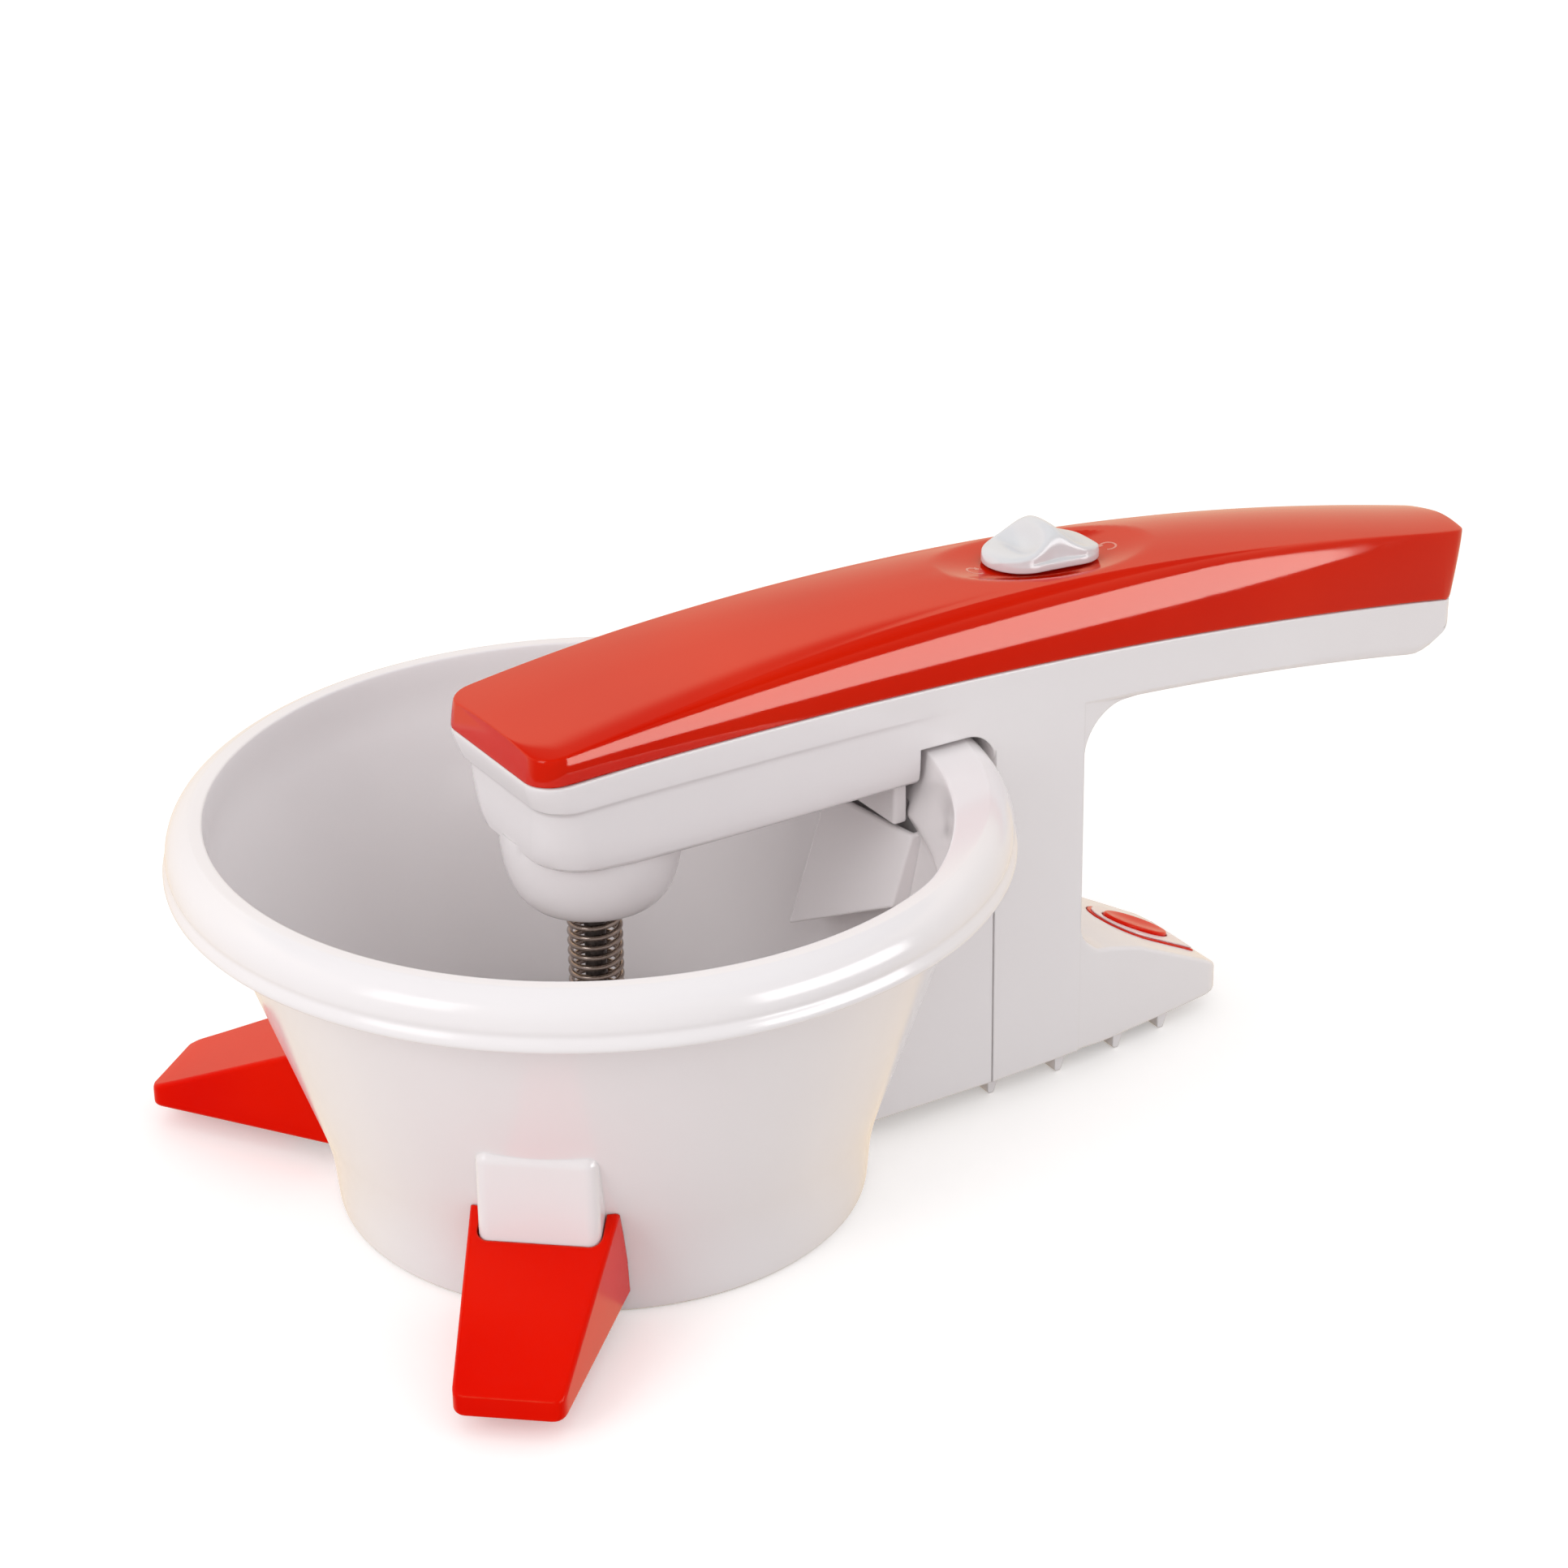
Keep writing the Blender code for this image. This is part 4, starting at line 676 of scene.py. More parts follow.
def foot_rings():
    rings = [rounded_rect(r, foot_w(r), FOOT_Z0, foot_top(r), FOOT_ROUND, 5)
             for r in FOOT_STATIONS]
    for a in quarter(8)[1:8]:
        r = 126.6 + 4.2 * sin(a)
        ease = 1 - cos(a)
        rings.append(rounded_rect(
            r, foot_w(r) - 2.8 * ease ** 1.5, FOOT_Z0 + 0.5 * ease ** 2,
            foot_top(min(r, 130.0)) - 0.7 * ease ** 2, FOOT_ROUND, 5))
    # the tip's face bows outwards a little across its width
    return [[(x + (0.9 * (1 - (y / 16.0) ** 2) * smooth((x - 121.0) / 9.0)), y, z)
             for x, y, z in ring] for ring in rings]


def build_foot(side, name):
    foot = loft("foot", foot_rings(), "flat")
    wall = solid_cone("wall", 0.35)
    foot = cut(foot, box("notch", (50, POST_R + 0.4), span(POST_W + 0.4), (4.0, 62.0), 3.2, 6))
    foot = cut(swing_to_foot(foot, side), wall)
    finish(foot, name + "_shoe", "bowl", RED_FOOT, [name], 30)


# --- handle lines -----------------------------------------------------------------
HEAD_X, TAIL_X = -29.5, 292.0           # front and rear ends of the handle
CREST_X, CREST_Z = 90.0, 149.0          # top of the crest curve
PART_X, PART_Z = 26.0, 136.2            # top of the line where cover and housing part
SEAM = 0.35
HEAD_UNDER = 105.5                      # underside over the bowl
DISH_X, DISH_RX, DISH_RY, DISH_DEPTH = 146.0, 35.6, 17.0, 3.1


def crease_z(x):
    return CREST_Z - (5.5e-4 if x < CREST_X else 4.95e-4) * (x - CREST_X) ** 2


def part_z(x):
    return PART_Z - (5.7e-4 if x < PART_X else 4.0e-4) * (x - PART_X) ** 2


def half_w(x):
    if x < PART_X:
        return 29.2 - 1.1 * ((PART_X - x) / 42) ** 1.5
    return 29.2 - 15.1 * ((x - PART_X) / 255) ** 2.1


def grip_under(x):
    """Underside of the grip, curling up at its rear end."""
    t = x - 171.0
    z = 111.0 - 0.115 * t - 0.00055 * t * t
    if x > 271.0:
        c = min(1.0, (x - 271.0) / 16.5)
        z = 94.0 + 14.0 * (1 - sqrt(max(0.0, 1 - c * c)))
    return z


# --- red cover -----------------------------------------------------------------------
TAIL_EASE_X = TAIL_X - 12               # from here the cover's sides start to lean
CAVITY_XS = (HEAD_X + 6.5, -18.0, 0.0, 30.0, 60.0, 90.0, 105.0, 125.0, 150.0, 170.0, 190.0,
             215.0, 240.0, 262.0, TAIL_X - 14)


def shoulder(x):
    """Half-width taken by the cover's rounded side: tight at both ends, wide in the middle."""
    t = max(0.0, min(1.0, (x + 26) / 306))
    return 1.3 + 7.4 * sin(pi * t) ** 1.3


def top_z(x):
    """Height of the top where its side starts to round over, fitted to the crest curve."""
    a = shoulder(x)
    h = crease_z(x) - part_z(x)
    rhs = 0.901 * h + 0.37 * (a - 0.5)
    return part_z(x) + sqrt(max(1.0, (rhs * rhs - 0.137 * a * a) / 0.812))


def crown(x):
    """How much the top rises across to its middle."""
    return 1.3 + 0.9 * sin(pi * max(0.0, min(1.0, (x + 30) / 320)))


def dish(x, y):
    """Depth of the oval dip round the switch."""
    q = ((x - DISH_X) / DISH_RX) ** 2 + (y / DISH_RY) ** 2
    return 0.0 if q >= 1 else DISH_DEPTH * min(1.0, 1.5 * (1 - q)) ** 1.1


def cover_top(x, y):
    flat_w = half_w(x) - shoulder(x)
    return top_z(x) + crown(x) * (1 - min(1.0, (abs(y) / flat_w)) ** 2) - dish(x, y)


def mirrored(half):
    return [(x, -y, z) for x, y, z in reversed(half[1:])] + half


def cover_ring(x_ref, x_of=None, cut_of=lambda f: 0.0):
    """A section from parting to parting. Over the rounded side f goes from 0 at its top to 1 at
    the parting; x_of(f) places a point along the handle and cut_of(f) narrows the section."""
    x_of = x_of or (lambda f: x_ref)
    half = []
    n_top, n_side = 14, 18
    narrowed = cut_of(0.0)
    a = shoulder(x_ref)
    flat_w = half_w(x_ref) - narrowed - a
    x = x_of(0.0)
    for i in range(n_top):
        y = y_full = flat_w * i / n_top
        if narrowed > 0:
            y_full = y * (half_w(x) - shoulder(x)) / max(0.1, flat_w)
        half.append((x, y, cover_top(x, y_full)))
    for i in range(n_side + 1):
        t = pi / 2 * i / n_side
        f = 1 - cos(t)
        x = x_of(f)
        w = half_w(x_ref) - cut_of(f)
        zp, zt = part_z(x), top_z(x)
        half.append((x, w - a + a * sin(t), zp + (zt - zp) * cos(t)))
    return mirrored(half)


def leaned(ring, x):
    """Near the tail, lower points are drawn forwards so the end leans out towards its top."""
    g = smooth((x - TAIL_EASE_X) / 11.0)
    return [(px - 0.21 * g * max(0.0, top_z(px) - pz), py, pz) for px, py, pz in ring]


def cover_rings():
    def corner(f):
        return 7.6 + (8.6 - 7.6) * f

    rings = [cover_ring(
        HEAD_X + 6,
        lambda f: HEAD_X + 1.1 * (1 - f) + corner(f) * (1 - cos(a)),
        lambda f: corner(f) * (1 - sin(a))) for a in quarter(8)]
    xs = [-19.0, -15.0, -9.0]
    while xs[-1] < TAIL_X - 8:
        xs.append(xs[-1] + (2.0 if 106 < xs[-1] < 186 else 6.0))
    xs = [x for x in xs if x < TAIL_X - 11] + [TAIL_X - 10.0, TAIL_X - 8.0, TAIL_X - 6.2]
    rings += [leaned(cover_ring(x), x) for x in xs]
    # the rear end has its corners rounded in plan, and its lowest points stay on the parting
    for a in quarter(5):
        x_end = TAIL_X - 4.5 + 4.0 * sin(a)
        ring = cover_ring(x_end, cut_of=lambda f: 3.2 * (1 - cos(a)) * 0.9)
        low = part_z(x_end) + 0.01
        rings.append([(x, y, part_z(x) if z < low else z) for x, y, z in leaned(ring, x_end)])
    return rings


def cover_cavity():
    rings = []
    for x in CAVITY_XS:
        w, a = half_w(x) - 2.4, shoulder(x) * 0.8
        zt = top_z(x) - 2.4 - (2.7 if 110 < x < 184 else 0.0)
        rings.append(mirrored([(x, 0.0, zt), (x, w - a - 1.5, zt - 0.4),
                               (x, w - a * 0.4 - 0.8, zt - 2.6), (x, w, zt - 8.5), (x, w, 90.0)]))
    return loft("cavity", rings, "flat")


def build_cover():
    cover = loft("cover", cover_rings())
    cover = cut(cover, cover_cavity())
    cover = cut(cover, box("slot", (137.8, 152.8), span(2.6), (130, 170), 0.5, 2))
    finish(cover, "cover_shell", "motor_unit", RED, ["top_cover"], 26)


def cover_strip(name, points, widths):
    """A thin strip let into the cover's top along (x, y) points."""
    sunk, proud = -0.12, 0.05
    rows = []
    for i, (x, y) in enumerate(points):
        ax, ay = points[max(0, i - 1)]
        bx, by = points[min(len(points) - 1, i + 1)]
        length = hypot(bx - ax, by - ay)
        nx, ny = -(by - ay) / length, (bx - ax) / length
        w = widths[i] / 2
        row = []
        for side, dz in ((-1, sunk), (1, sunk), (1, proud), (-1, proud)):
            px, py = x + side * nx * w, y + side * ny * w
            row.append((px, py, cover_top(px, py) + dz))
        rows.append(row)
    return loft(name, rows, "flat")


def build_arrow(name, cx, side):
    """A curved arrow beside the switch: an open arc with a pointed tip."""
    turns = [radians(a) for a in range(-130, 131, 13)]
    points = [(cx - side * 2.3 * cos(a), 2.3 * sin(a)) for a in turns]
    line = cover_strip(name, points, [0.6] * len(points))
    x, y = points[-1]
    dx, dy = x - points[-3][0], y - points[-3][1]
    length = hypot(dx, dy)
    dx, dy = dx / length, dy / length
    tip = cover_strip(name + "_tip", [(x + dx * d, y + dy * d) for d in (-0.4, 0.3, 1.0, 1.7)],
                      [2.0, 1.4, 0.8, 0.12])
    finish(join(line, tip), name, "motor_unit", MARK, None)


# --- white housing ---------------------------------------------------------------------
# Levels of the housing's side, from the parting down. Columns: setback of the front face, corner
# radius in plan, narrowing of the side, the band it belongs to, offset within that band.
LEVELS = [
    (0.5, 8.5, 0.55, "seam", 0.0), (0.1, 8.5, 0.12, "seam", -0.35),
    (0.0, 8.6, 0.05, "seam", -0.9), (0.25, 8.8, 0.15, "seam", -2.4),
    (1.0, 9.2, 0.25, "belt", 0.42),
    (2.1, 9.6, 0.4, "step", 0.6), (2.7, 9.8, 0.6, "step", 0.1), (3.2, 10.0, 0.9, "step", -0.35),
    (3.55, 10.3, 1.15, "step", -0.9), (3.75, 10.6, 1.25, "step", -1.8),
    (4.0, 11.6, 1.35, "mid", 0.68), (4.25, 12.6, 1.45, "mid", 0.45),
    (4.7, 13.6, 1.65, "mid", 0.25), (5.3, 14.4, 2.1, "mid", 0.1),
    (5.8, 14.8, 2.6, "floor", 1.3), (6.5, 15.0, 3.4, "floor", 0.45),
    (7.5, 15.2, 4.5, "floor", 0.08), (8.5, 15.4, 5.6, "floor", 0.0),
]
REAR_X = 282.7                          # where the rear end starts to round over
COL_X0, COL_X1 = 112.1, 143.0           # front and back of the column
TAIL_RUN_X, TAIL_RUN, TAIL_DROP = 167.0, 30.0, 15.8     # the straight slope of the low tail
COLUMN_XS = (COL_X0, 116.0, 119.0, 122.0, 125.0, 128.0, 131.0, 134.0, 137.0, 140.0, COL_X1)
TAIL_XS = (138.0, 141.0, 143.2, 144.2, 145.6, 147.4, 150.1, 155.0, 160.0, 167.0, 174.0, 182.0,
           190.0, 195.0)
# the tail's rounded rear end: x, narrowing, low z, high z
TAIL_END = [(198.8, 1.3, 4.9, 13.7), (199.5, 2.3, 5.3, 13.0), (199.8, 3.4, 6.0, 12.4)]
# (radius, z) of the boss under the head, round the bowl's axis
BOSS = [(0, 109.0), (24.9, 109.0), (24.75, 105.0), (24.4, 102.0), (23.95, 99.0), (23.3, 96.0),
        (22.5, 93.2), (21.6, 91.0), (20.6, 89.2), (19.5, 87.8), (18.3, 86.7), (17.0, 86.0),
        (15.6, 85.5), (14.4, 85.4), (0, 85.4)]
SHAFT_BORE = [(0, 112.0), (9.4, 112.0), (9.4, 86.6), (10.6, 84.6), (10.6, 75.0), (0, 75.0)]
SCREWS = [(62.0, 18.2, 107.9), (62.0, -18.2, 107.9), (268.5, 0.0, 97.5)]


def under_z(x):
    return HEAD_UNDER + (grip_under(max(x, 140.0)) - HEAD_UNDER) * smooth((x - 118.0) / 22.0)


def house_ring(x, a=None):
    """A closed section of the housing; with an angle, a ring round the front's plan corners."""
    zp = part_z(x) - SEAM
    zu = under_z(x)
    zs = max(zu + 0.2 * (zp - zu), min(part_z(x) - 8.4, zu + 0.70 * (zp - zu)))
    k = max(0.0, min(1.0, (zp - zu) / 20.0))
    fade = 1 - smooth((x - 76) / 32)
    # each band's base height, and what its offsets are scaled by
    bands = {"seam": (zp, k), "belt": (zs, zp - zs), "step": (zs, k),
             "mid": (zu, zs - zu), "floor": (zu, k)}
    side = []
    for setback, corner, narrow, band, offset in LEVELS:
        base, scale = bands[band]
        if band == "floor" or (band == "mid" and offset < 0.2):
            narrow -= 1.1 * (1 - fade)
        elif band != "seam":
            narrow = 0.25 + (narrow - 0.25) * fade
        px, inwards = x, 0.0
        if a is not None:
            px = HEAD_X + setback + corner * (1 - cos(a))
            inwards = corner * (1 - sin(a))
        side.append((px, half_w(x) - narrow - inwards, base + offset * scale))
    (tx, ty, tz), (bx, by, bz) = side[0], side[-1]
    half = [(tx, ty * f, tz) for f in (0.0, 0.33, 0.66)] + side
    half += [(bx, by * f, bz) for f in (0.66, 0.33, 0.0)]
    return half + [(px, -py, pz) for px, py, pz in reversed(half[1:-1])]


def handle_body():
    rings = [house_ring(HEAD_X + 3, a) for a in quarter(12)]
    rings += [house_ring(x) for x in range(-1, 265, 5)]
    rings += [house_ring(x) for x in (269.0, 272.0, 275.0, 278.0, 280.5, REAR_X)]
    for a in quarter(5)[1:]:
        ring = house_ring(REAR_X + 3.4 * sin(a))
        rings.append([(x, y * (1 - 0.16 * (1 - cos(a))), z) for x, y, z in ring])
    return loft("housing_fine", rings, rows=(3, len(LEVELS) + 2))


def col_w(x):
    return half_w(x) - 0.27


def tail_w(x):
    behind = max(COL_X1, x) - COL_X1
    return col_w(COL_X1) - 0.10 - behind * 0.103 - 0.0007 * behind ** 2


def tail_top(x):
    """A hollow curve down from the column, a gentle fall, then the straight slope."""
    if x < 150.1:
        return 36.0 + 11.0 * (1 - sin(acos(max(-1.0, min(1.0, (155.0 - x) / 12.0)))))
    if x < TAIL_RUN_X:
        return 36.0 - 5.0 * ((x - 150.1) / 16.9) ** 1.2
    return 31.0 - TAIL_DROP * (x - TAIL_RUN_X) / TAIL_RUN


def grip_fillet():
    """The round between the column's back and the grip's underside."""
    stations = [(138.0, half_w(138) - 0.45, 97.7, 118.0)]
    for i in range(15):
        a = pi * 0.5 * i / 14
        x = 157.5 - 14.5 * cos(a)
        stations.append((x, half_w(x) - 0.45 - 1.2 * (i / 14) ** 2, 97.7 + 14.5 * sin(a), 118.0))
    stations.append((172.0, half_w(172) - 2.6, grip_under(172.0) + 0.7, 116.5))
    return rounded_loft("fillet", stations, 0.5, 2)


def low_tail():
    stations = [(x, tail_w(x), 5.2 - 0.6 * smooth((x - 144) / 8), tail_top(x)) for x in TAIL_XS]
    stations.append((197.5, tail_w(197.5) - 0.5, 4.7, 14.6))
    stations += [(x, tail_w(x) - narrow, z0, z1) for x, narrow, z0, z1 in TAIL_END]
    return rounded_loft("tail", stations, 1.2)


def add_ribs(housing):
    """Cross ribs that stand on the table, the first three braced by a pair of webs."""
    for x in (113.6, 137.0, 159.0, 177.0):
        w = tail_w(x) - 1.6
        outline = [(x - 1.1, 6.9), (x - 1.1, 0.5), (x - 0.7, 0.0), (x + 0.7, 0.0),
                   (x + 1.1, 0.5), (x + 3.4, 6.9)]
        housing = join(housing, side_prism("rib", outline, w))
        if x < 160:
            for y in (-w + 4.0, w - 4.0):
                web = box("web", (x + 0.4, x + 7.5), (y - 0.9, y + 0.9), (3.6, 6.9))
                housing = join(housing, web)
    return housing


def cavity_loft(name, stations):
    """An open-topped hollow through (x, wall inset, floor z)."""
    rings = []
    for x, inset, z0 in stations:
        w = half_w(x) - 2.6 - inset
        low = rounded_rect(x, w, z0, 150, 2.0, 4)[:10]
        rings.append(low + [(x, w, 150), (x, -w, 150)])
    return loft(name, rings, "flat")


def grip_floor(x):
    if x < 160:
        z = grip_under(max(x, 140.0)) + 2.2
    else:
        z = min(113.6, grip_under(x) + 2.6)
    return z + max(0.0, x - 262) * 0.25


def rim_slot():
    """The opening that the bowl's back rim sits in, less what stays on the bowl's inner side."""
    back = ARCH_C[0] + ARCH_R + 0.15
    outline = [(84.0, 80.0), (84.0, ARCH_TOP), *arc(*ARCH_C, ARCH_R, 90, 0, 18),
               (back, 101.0), (back, 99.4), (111.0, 98.0), (111.0, 80.0)]
    slot = side_prism("slot", outline, 60.0)
    keep = box("inner_keep", (70.0, 87.3), span(70), (70, 140))
    disc = turned("ik", [(0, 140.0), (91.3, 140.0), (91.3, 70.0), (0, 70.0)], 200)
    disc = cut(disc, box("ikc", (-120, 75), span(120), (60, 150)),
               box("ikd", (70, 120), (24.0, 120), (60, 150)),
               box("ike", (70, 120), (-120, -24.0), (60, 150)))
    return cut(slot, join(keep, disc))


def hollow_out(housing):
    head = cavity_loft("head_cav", [(-20.3, 14.0, 107.9), (-16.2, 9.0, 107.9), (-8.0, 5.2, 107.9)]
                       + [(x, 3.2, 107.9) for x in (3.0, 26.0, 50.0, 79.0)])
    mid = cavity_loft("mid_cav", [(x, 0.6, 118.9) for x in (74.0, 100.0, 125.0)])
    grip = cavity_loft("grip_cav", [(x, 0.8, grip_floor(x)) for x in (
        118.5, 145.0, 158.0, 161.5, 180.0, 200.0, 230.0, 255.0, 270.0, 278.0)])
    column = box("col_cav", (118.0, 140.4), span(24.4), (40.0, 125.0), 1.0, 2)
    low = box("low_cav", (114.8, 140.4), span(24.4), (8.0, 98.0), 1.0, 2)
    housing = cut(housing, head, mid, grip, column, low, rim_slot())
    for x0, x1 in ((145.0, 156.4), (164.4, 174.4)):
        top = 19.0 - (x0 - 146) * 0.35
        housing = cut(housing, box("bay", (x0, x1), span(18.5), (-2.0, top), 1.0, 2))
    return housing


# --- release pad, on the tail's slope ------------------------------------------------
# frame on the slope: x runs down it, z stands off it
TAIL_PLACE = (Matrix.Translation(Vector((184.0, 0.0, 22.2)) * MM)
              @ Matrix.Rotation(atan2(TAIL_DROP, TAIL_RUN), 4, "Y"))
PAD_X = -3.0                            # the pad's middle in that frame
PAD_SQUEEZE = 0.565                     # the pad's width over its length
PAD = [(0, 0.9), (4.0, 1.0), (8.6, 1.3), (10.8, 1.62), (11.5, 1.5), (11.9, 1.1),
       (11.9, -5.8), (13.1, -5.8), (13.1, -7.2), (0, -7.2)]


def u_outline(half, nose, rear, n=28):
    """A U with its round nose towards -x."""
    out = [(rear, -half * 0.92)]
    for i in range(n + 1):
        t = radians(-90 - 180 * i / n)
        out.append((nose + half + half * cos(t), half * sin(t)))
    return out + [(rear, half * 0.92)]


def build_housing():
    housing = handle_body()
    column = rounded_loft(
        "column", [(x, col_w(x), 5.0, under_z(x) + 5.5) for x in COLUMN_XS], 1.0)
    housing = join(housing, column, grip_fillet(), low_tail())
    housing = add_ribs(housing)
    boss = turned("boss", BOSS, 96)
    housing = join(housing, boss, box("inner_box", (81.6, 86.0), span(22.6), (93.2, 108.5), 0.9))
    housing = hollow_out(housing)
    seat = plate("seat", u_outline(12.2, -19.3, 13.2), -4.0, 6.0, place=TAIL_PLACE)
    housing = cut(housing, seat)
    well = plate("well", ellipse(13.7, 56, PAD_X, ry=8.5), -12.0, 0.0, place=TAIL_PLACE)
    housing = cut(housing, well)
    housing = cut(housing, turned("bore", SHAFT_BORE, 64))
    for x, y, z in SCREWS:
        housing = cut(housing, rod("hole", 1.8, z - 30, z + 8, 24, (x, y, 0)),
                      rod("sink", 3.2, z - 30, z - 1.1, 32, (x, y, 0)))
    housing = cut(housing, rod("jack_hole", 3.3, 95.0, 106.0, 32, (240.0, 0, 0)))
    finish(housing, "housing_shell", "motor_unit", WHITE, ["motor_housing"], 30)


def build_release():
    hole = ellipse(12.4, 72, PAD_X, ry=7.2)
    trim = plate("trim", u_outline(11.8, -18.9, 12.8), -3.6, 0.15, [hole], TAIL_PLACE)
    finish(bevelled(trim, 0.3), "release_trim_fine", "motor_unit", RED_FOOT,
           ["release_trim"])
    tongue = plate("tongue", u_outline(10.7, -17.8, 12.6), 0.2, 0.62, [hole], TAIL_PLACE)
    finish(bevelled(tongue, 0.2), "release_tongue_fine", "motor_unit", PALE,
           ["release_tongue"])
    pad = bake_at(turned("pad", PAD, 96), TAIL_PLACE @ Matrix.Translation((PAD_X * MM, 0, 0))
                  @ Matrix.Diagonal((1.0, PAD_SQUEEZE, 1.0, 1.0)))
    finish(pad, "release_pad", "release", RED_FOOT, ["release_button"])


# --- springs ---------------------------------------------------------------------
def build_springs():
    spring = coil("spring", r=6.8, wire=0.82, z0=31.8, z1=85.5, pitch=3.0, per_turn=36)
    finish(spring, "blade_spring", "output", SPRING, ["compression_spring"])
    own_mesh(spring)

    spring = coil("rs", r=4.4, wire=0.45, z0=-11.2, z1=-7.9, pitch=1.6, per_turn=28,
                  place=TAIL_PLACE)
    finish(spring, "pad_spring", "motor_unit", SPRING, ["release_spring"])
    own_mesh(spring)


# --- switch knob ---------------------------------------------------------------------
KNOB_X, KNOB_L, KNOB_W = 145.3, 17.8, 10.4          # middle, half-length, half-width
# (share of the length from the front, height)
KNOB_HEIGHTS = [(0.0, 1.3), (0.03, 2.6), (0.08, 3.5), (0.16, 4.3), (0.26, 5.9), (0.36, 8.6),
                (0.43, 10.5), (0.485, 11.1), (0.52, 11.0), (0.57, 10.0), (0.65, 7.6), (0.75, 5.4),
                (0.86, 4.1), (0.94, 3.4), (0.975, 2.6), (1.0, 1.3)]


def knob_ring(t, h):
    x = -KNOB_L + 2 * KNOB_L * t
    end = min(t, 1 - t) * 2 * KNOB_L            # distance to the nearer end
    w = KNOB_W
    if end <= KNOB_W:
        w = max(0.9, sqrt(max(0.0, KNOB_W ** 2 - (KNOB_W - end) ** 2)))
    ridge = exp(-((t - 0.5) / 0.16) ** 2)
    # scoops hollow out both slopes and leave a crisp ridge across between them
    scoops = 3.1 * exp(-((t - 0.32) / 0.105) ** 2) + 1.7 * exp(-((t - 0.71) / 0.10) ** 2)
    base_h = 2.4 if end > 1.2 else 1.3 + 0.9 * end
    low = [(w, 0.0), (w, base_h * 0.55), (w * 0.985, base_h * 0.85)]
    over = []
    n = 26
    for i in range(n + 1):
        q = pi - pi * i / n
        c = cos(q)
        y = w * (0.96 - 0.10 * ridge) * (abs(c) ** 0.85) * (1 if c > 0 else -1)
        profile = max(0.0, sin(q)) ** 0.42
        hollow = scoops * max(0.0, 1 - 1.3 * c * c)
        over.append((y, max(base_h, base_h + (h - base_h) * profile - hollow * profile)))
    section = [(-y, z) for y, z in low] + over + low[::-1]
    cover_x = KNOB_X + x
    foot_z = top_z(cover_x) + crown(cover_x) - 2.3
    return [(cover_x, y, foot_z + z) for y, z in section]


def build_knob():
    knob = loft("knob", [knob_ring(t, h) for t, h in catmull_rom(KNOB_HEIGHTS, 84)])
    stem = box("stem", (KNOB_X - 2.2, KNOB_X + 2.2), span(1.9), (138.4, 149.5), 0.3, 2)
    finish(join(knob, stem), "knob_fine", "switch", KNOB_WHITE,
           ["switch_knob"], 40)


# --- disc and blade ---------------------------------------------------------------------
HOLE_RINGS = ((16, 8), (28, 14), (40, 20), (52, 26))        # radius, number of holes


def build_disc():
    holes = []
    for k, (r, n) in enumerate(HOLE_RINGS):
        turns = [2 * pi * (i + 0.5 * (k % 2)) / n for i in range(n)]
        holes += [ellipse(1.5, 20, r * cos(a), r * sin(a)) for a in turns]
    holes.append(ellipse(3.5, 40))
    disc = bevelled(plate("disc", ellipse(70.6, 160), 9.2, 10.4, holes), 0.18)
    finish(disc, "disc_fine", "bowl", SHEET, ["milling_disc"])


def blade_sheet(thick=1.0, sweep=180.0, n=72, r_in=11.0, r_out=61.0, nr=12):
    """A ramp of sheet that climbs round the axis, n steps round and nr steps out."""
    bm = bmesh.new()
    grid = {}
    for k, dz in enumerate((0.0, thick)):
        for i in range(n + 1):
            u = i / n
            a = radians(sweep * u)
            for j in range(nr + 1):
                r = r_in + (r_out - r_in) * j / nr
                z = 11.6 + 21.0 * u ** 1.15 * (0.35 + 0.65 * r / r_out)
                grid[k, i, j] = bm.verts.new((r * cos(a), r * sin(a), z + dz))

    def face(*keys):
        bm.faces.new([grid[key] for key in keys])

    for i in range(n):
        for j in range(nr):
            face((1, i, j), (1, i + 1, j), (1, i + 1, j + 1), (1, i, j + 1))
            face((0, i, j + 1), (0, i + 1, j + 1), (0, i + 1, j), (0, i, j))
    for i in range(n):
        for j in (0, nr):
            face((0, i, j), (0, i + 1, j), (1, i + 1, j), (1, i, j))
    for j in range(nr):
        for i in (0, n):
            face((0, i, j), (0, i, j + 1), (1, i, j + 1), (1, i, j))
    return from_bm("blade", bm)


def build_blade():
    blade = bevelled(blade_sheet(), 0.2, angle=50)
    ring = turned("ring", [(12.2, 16.4), (12.2, 14.6), (7.95, 14.6), (7.95, 16.4)], 64)
    finish(join(blade, ring), "blade_fine", "mixer", SHEET, ["blade"])


# --- frame pieces that keep their mesh and only take a material ---------------------------
LOOKS = [
    (NYLON, ["blade_collar", "output_gear", "worm_wheel", "switch_lever"]),
    (SHAFT_DARK, ["mixer_shaft"]),
    (ZINC, ["drive_socket", "wheel_axle"]),
    (ZINC_X, ["worm", "motor"]),
    (SHEET, ["gearbox_plate"]),
    (BRONZE, ["worm_bearing", "upper_bush", "lower_bush"]),
    (BOARD, ["circuit_board"]),
    (BLACK, ["slide_switch", "charge_socket"]),
    (WRAP, ["battery_cell_1", "battery_cell_2"]),
    (ZINC, [f"{kind}_screw_{i}" for i in (1, 2, 3) for kind in ("cover", "plate")]),
]


def dress_frame():
    for mat, names in LOOKS:
        for name in names:
            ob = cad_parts[name]
            if not ob.material_slots:
                ob.data.materials.append(mat)
            for slot in ob.material_slots:
                slot.material = mat


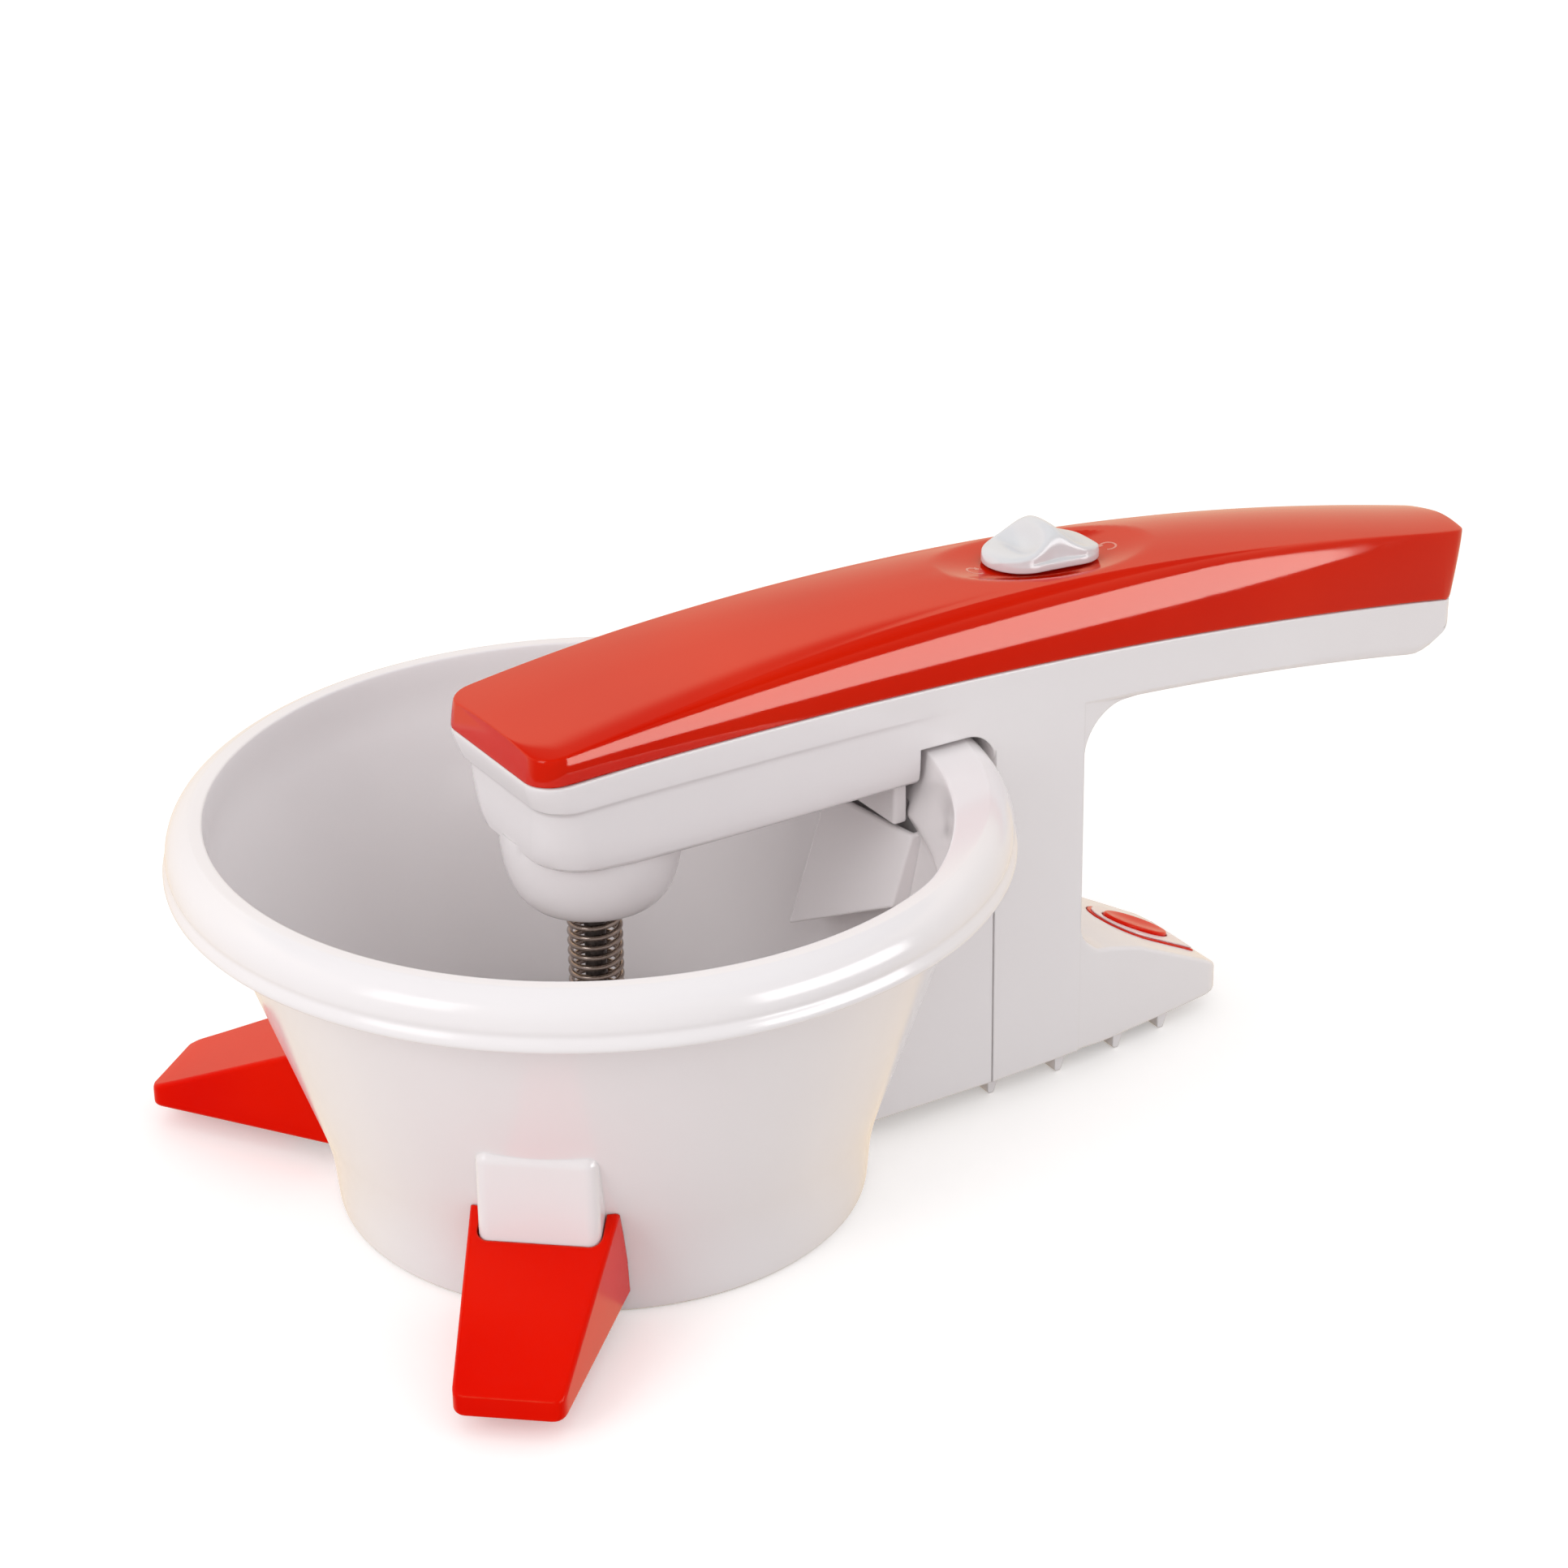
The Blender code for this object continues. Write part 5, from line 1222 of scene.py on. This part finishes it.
# --- stage (metres) ------------------------------------------------------------------------
def build_floor():
    bm = bmesh.new()
    bmesh.ops.create_grid(bm, x_segments=8, y_segments=8, size=9.0)
    mesh = bpy.data.meshes.new("floor")
    bm.to_mesh(mesh)
    bm.free()
    floor = link("floor", mesh)
    floor.location = (0, 0, -0.0002)
    mat, sh, bsdf = new_material("floor_sweep")
    mottle = sh.noise(sh.object_coords(), scale=3.0)
    seen = sh.mix(mottle, (0.90, 0.885, 0.87), (0.93, 0.915, 0.90))
    camera_ray = sh.add("LightPath", {}).outputs["Is Camera Ray"]
    # the camera sees a paler floor, glowing a little; other rays get a duller one
    sh.feed(bsdf, {
        "Roughness": 0.55,
        "Specular IOR Level": 0.2,
        "Emission Color": (1.0, 0.985, 0.97),
        "Emission Strength": sh.remap(camera_ray, to=(0.0, 0.30), source=(0.0, 1.0)),
        "Base Color": sh.mix(camera_ray, (0.74, 0.72, 0.71), seen),
    })
    mesh.materials.append(mat)
    floor.visible_glossy = False


# brightness that glossy surfaces mirror, by the height of the mirrored direction
MIRROR_RAMP = [(0.0, 0.85), (0.35, 0.82), (0.50, 0.95), (0.635, 1.22), (0.66, 0.34),
               (0.74, 0.16), (1.0, 0.26)]


def build_world():
    """White to the camera, a soft even light, and a warm ramp for mirror reflections."""
    world = bpy.data.worlds.new("studio")
    SCENE.world = world
    world.use_nodes = True
    sh = Shader(world.node_tree)
    sh.nodes.clear()
    out = sh.add("OutputWorld", {})
    path = sh.add("LightPath", {}).outputs
    direction = sh.add("TexCoord", {}).outputs["Generated"]
    height = sh.add("SeparateXYZ", {0: direction}).outputs["Z"]
    ramp = sh.add("ValToRGB", {"Fac": height})
    elements = ramp.color_ramp.elements
    while len(elements) < len(MIRROR_RAMP):
        elements.new(0.5)
    for element, (position, value) in zip(elements, MIRROR_RAMP):
        element.position, element.color = position, (value, value, value, 1)
    # mirrored directions that point away from the camera are brighter
    ahead = sh.vector("DOT_PRODUCT", {0: direction, 1: (0.52, 0.85, 0.0)}).outputs["Value"]
    share = sh.remap(ahead, to=(0.22, 1.0), source=(-0.35, 0.35))
    shaded = sh.vector("SCALE", {0: ramp.outputs["Color"], "Scale": share}).outputs[0]
    warm = sh.vector("MULTIPLY", {0: shaded, 1: (1.16, 0.92, 0.66)}).outputs[0]

    def background(color, strength):
        return sh.add("Background", {"Color": color, "Strength": strength}).outputs[0]

    mirrored_light = background(warm, 1.0)
    even_light = background((0.97, 0.98, 1.0), 0.88)
    backdrop = background((1, 1, 1), 1.0)
    light = sh.add("MixShader", {0: path["Is Glossy Ray"], 1: even_light, 2: mirrored_light})
    final = sh.add("MixShader", {0: path["Is Camera Ray"], 1: light.outputs[0], 2: backdrop})
    sh.feed(out, {0: final.outputs[0]})


def area(name, place, target, size, power, color=(1, 1, 1), glossy=True, diffuse=True):
    """A rectangular light; place and target are measured from the bowl's axis."""
    light = bpy.data.lights.new(name, "AREA")
    light.shape = "RECTANGLE"
    light.size, light.size_y = size
    light.energy = power
    light.color = color
    light.spread = pi
    ob = link(name, light)
    place, target = (Vector(p) + Vector((AXIS_X, 0, 0)) for p in (place, target))
    facing = (target - place).to_track_quat("-Z", "Y").to_matrix().to_4x4()
    ob.matrix_world = Matrix.Translation(place) @ facing
    ob.visible_glossy = glossy
    ob.visible_diffuse = diffuse
    ob.visible_camera = False


def build_lights():
    area("key", place=(-0.75, -1.25, 1.35), target=(0.05, 0.0, 0.10), size=(1.3, 1.1),
         power=1.5, color=(1.0, 0.985, 0.985), glossy=False)
    area("left_box", place=(-1.5, -0.35, 0.9), target=(0.0, 0.0, 0.1), size=(0.7, 0.9), power=6.0)
    area("right_box", place=(0.90, -1.38, 0.34), target=(0.10, 0.0, 0.14), size=(1.3, 0.80),
         power=21.0, diffuse=False)


# The camera stands off a point on the bowl's axis, swung towards the front from square on.
SENSOR, FOCAL = 36.0, 93.167702         # mm
SWING = radians(28.5)
ELEVATION = 0.50061                     # radians above that point
DISTANCE, LIFT = 1.10702796, 0.053      # metres to the point, and the point's height
YAW, PITCH, ROLL = 0.05312, -ELEVATION + 0.05213, -0.01476


def build_camera():
    data = bpy.data.cameras.new("camera")
    data.sensor_width = SENSOR
    data.lens = FOCAL
    data.clip_end = 30.0
    camera = link("camera", data)
    ahead = Vector((sin(YAW) * cos(PITCH), cos(YAW) * cos(PITCH), sin(PITCH)))
    right = ahead.cross(Vector((0, 0, 1))).normalized()
    up = right.cross(ahead)
    right, up = cos(ROLL) * right + sin(ROLL) * up, -sin(ROLL) * right + cos(ROLL) * up
    swing = Matrix.Rotation(-SWING, 3, "Z")
    ahead, right, up = swing @ ahead, swing @ right, swing @ up
    place = Vector((0, -DISTANCE * cos(ELEVATION), DISTANCE * sin(ELEVATION) + LIFT))
    matrix = Matrix((right, up, -ahead)).transposed().to_4x4()
    matrix.translation = swing @ place + Vector((AXIS_X, 0, 0))
    camera.matrix_world = matrix
    SCENE.camera = camera


build_bowl()
build_foot(-1, "foot_near")
build_foot(1, "foot_far")
build_cover()
build_arrow("arrow_front", 123.4, 1)
build_arrow("arrow_rear", 168.6, -1)
build_housing()
build_release()
build_springs()
build_knob()
build_disc()
build_blade()
dress_frame()

SCENE.view_settings.view_transform = "Standard"
SCENE.view_settings.look = "None"
SCENE.view_settings.exposure = 0.0
build_floor()
build_world()
build_lights()
build_camera()
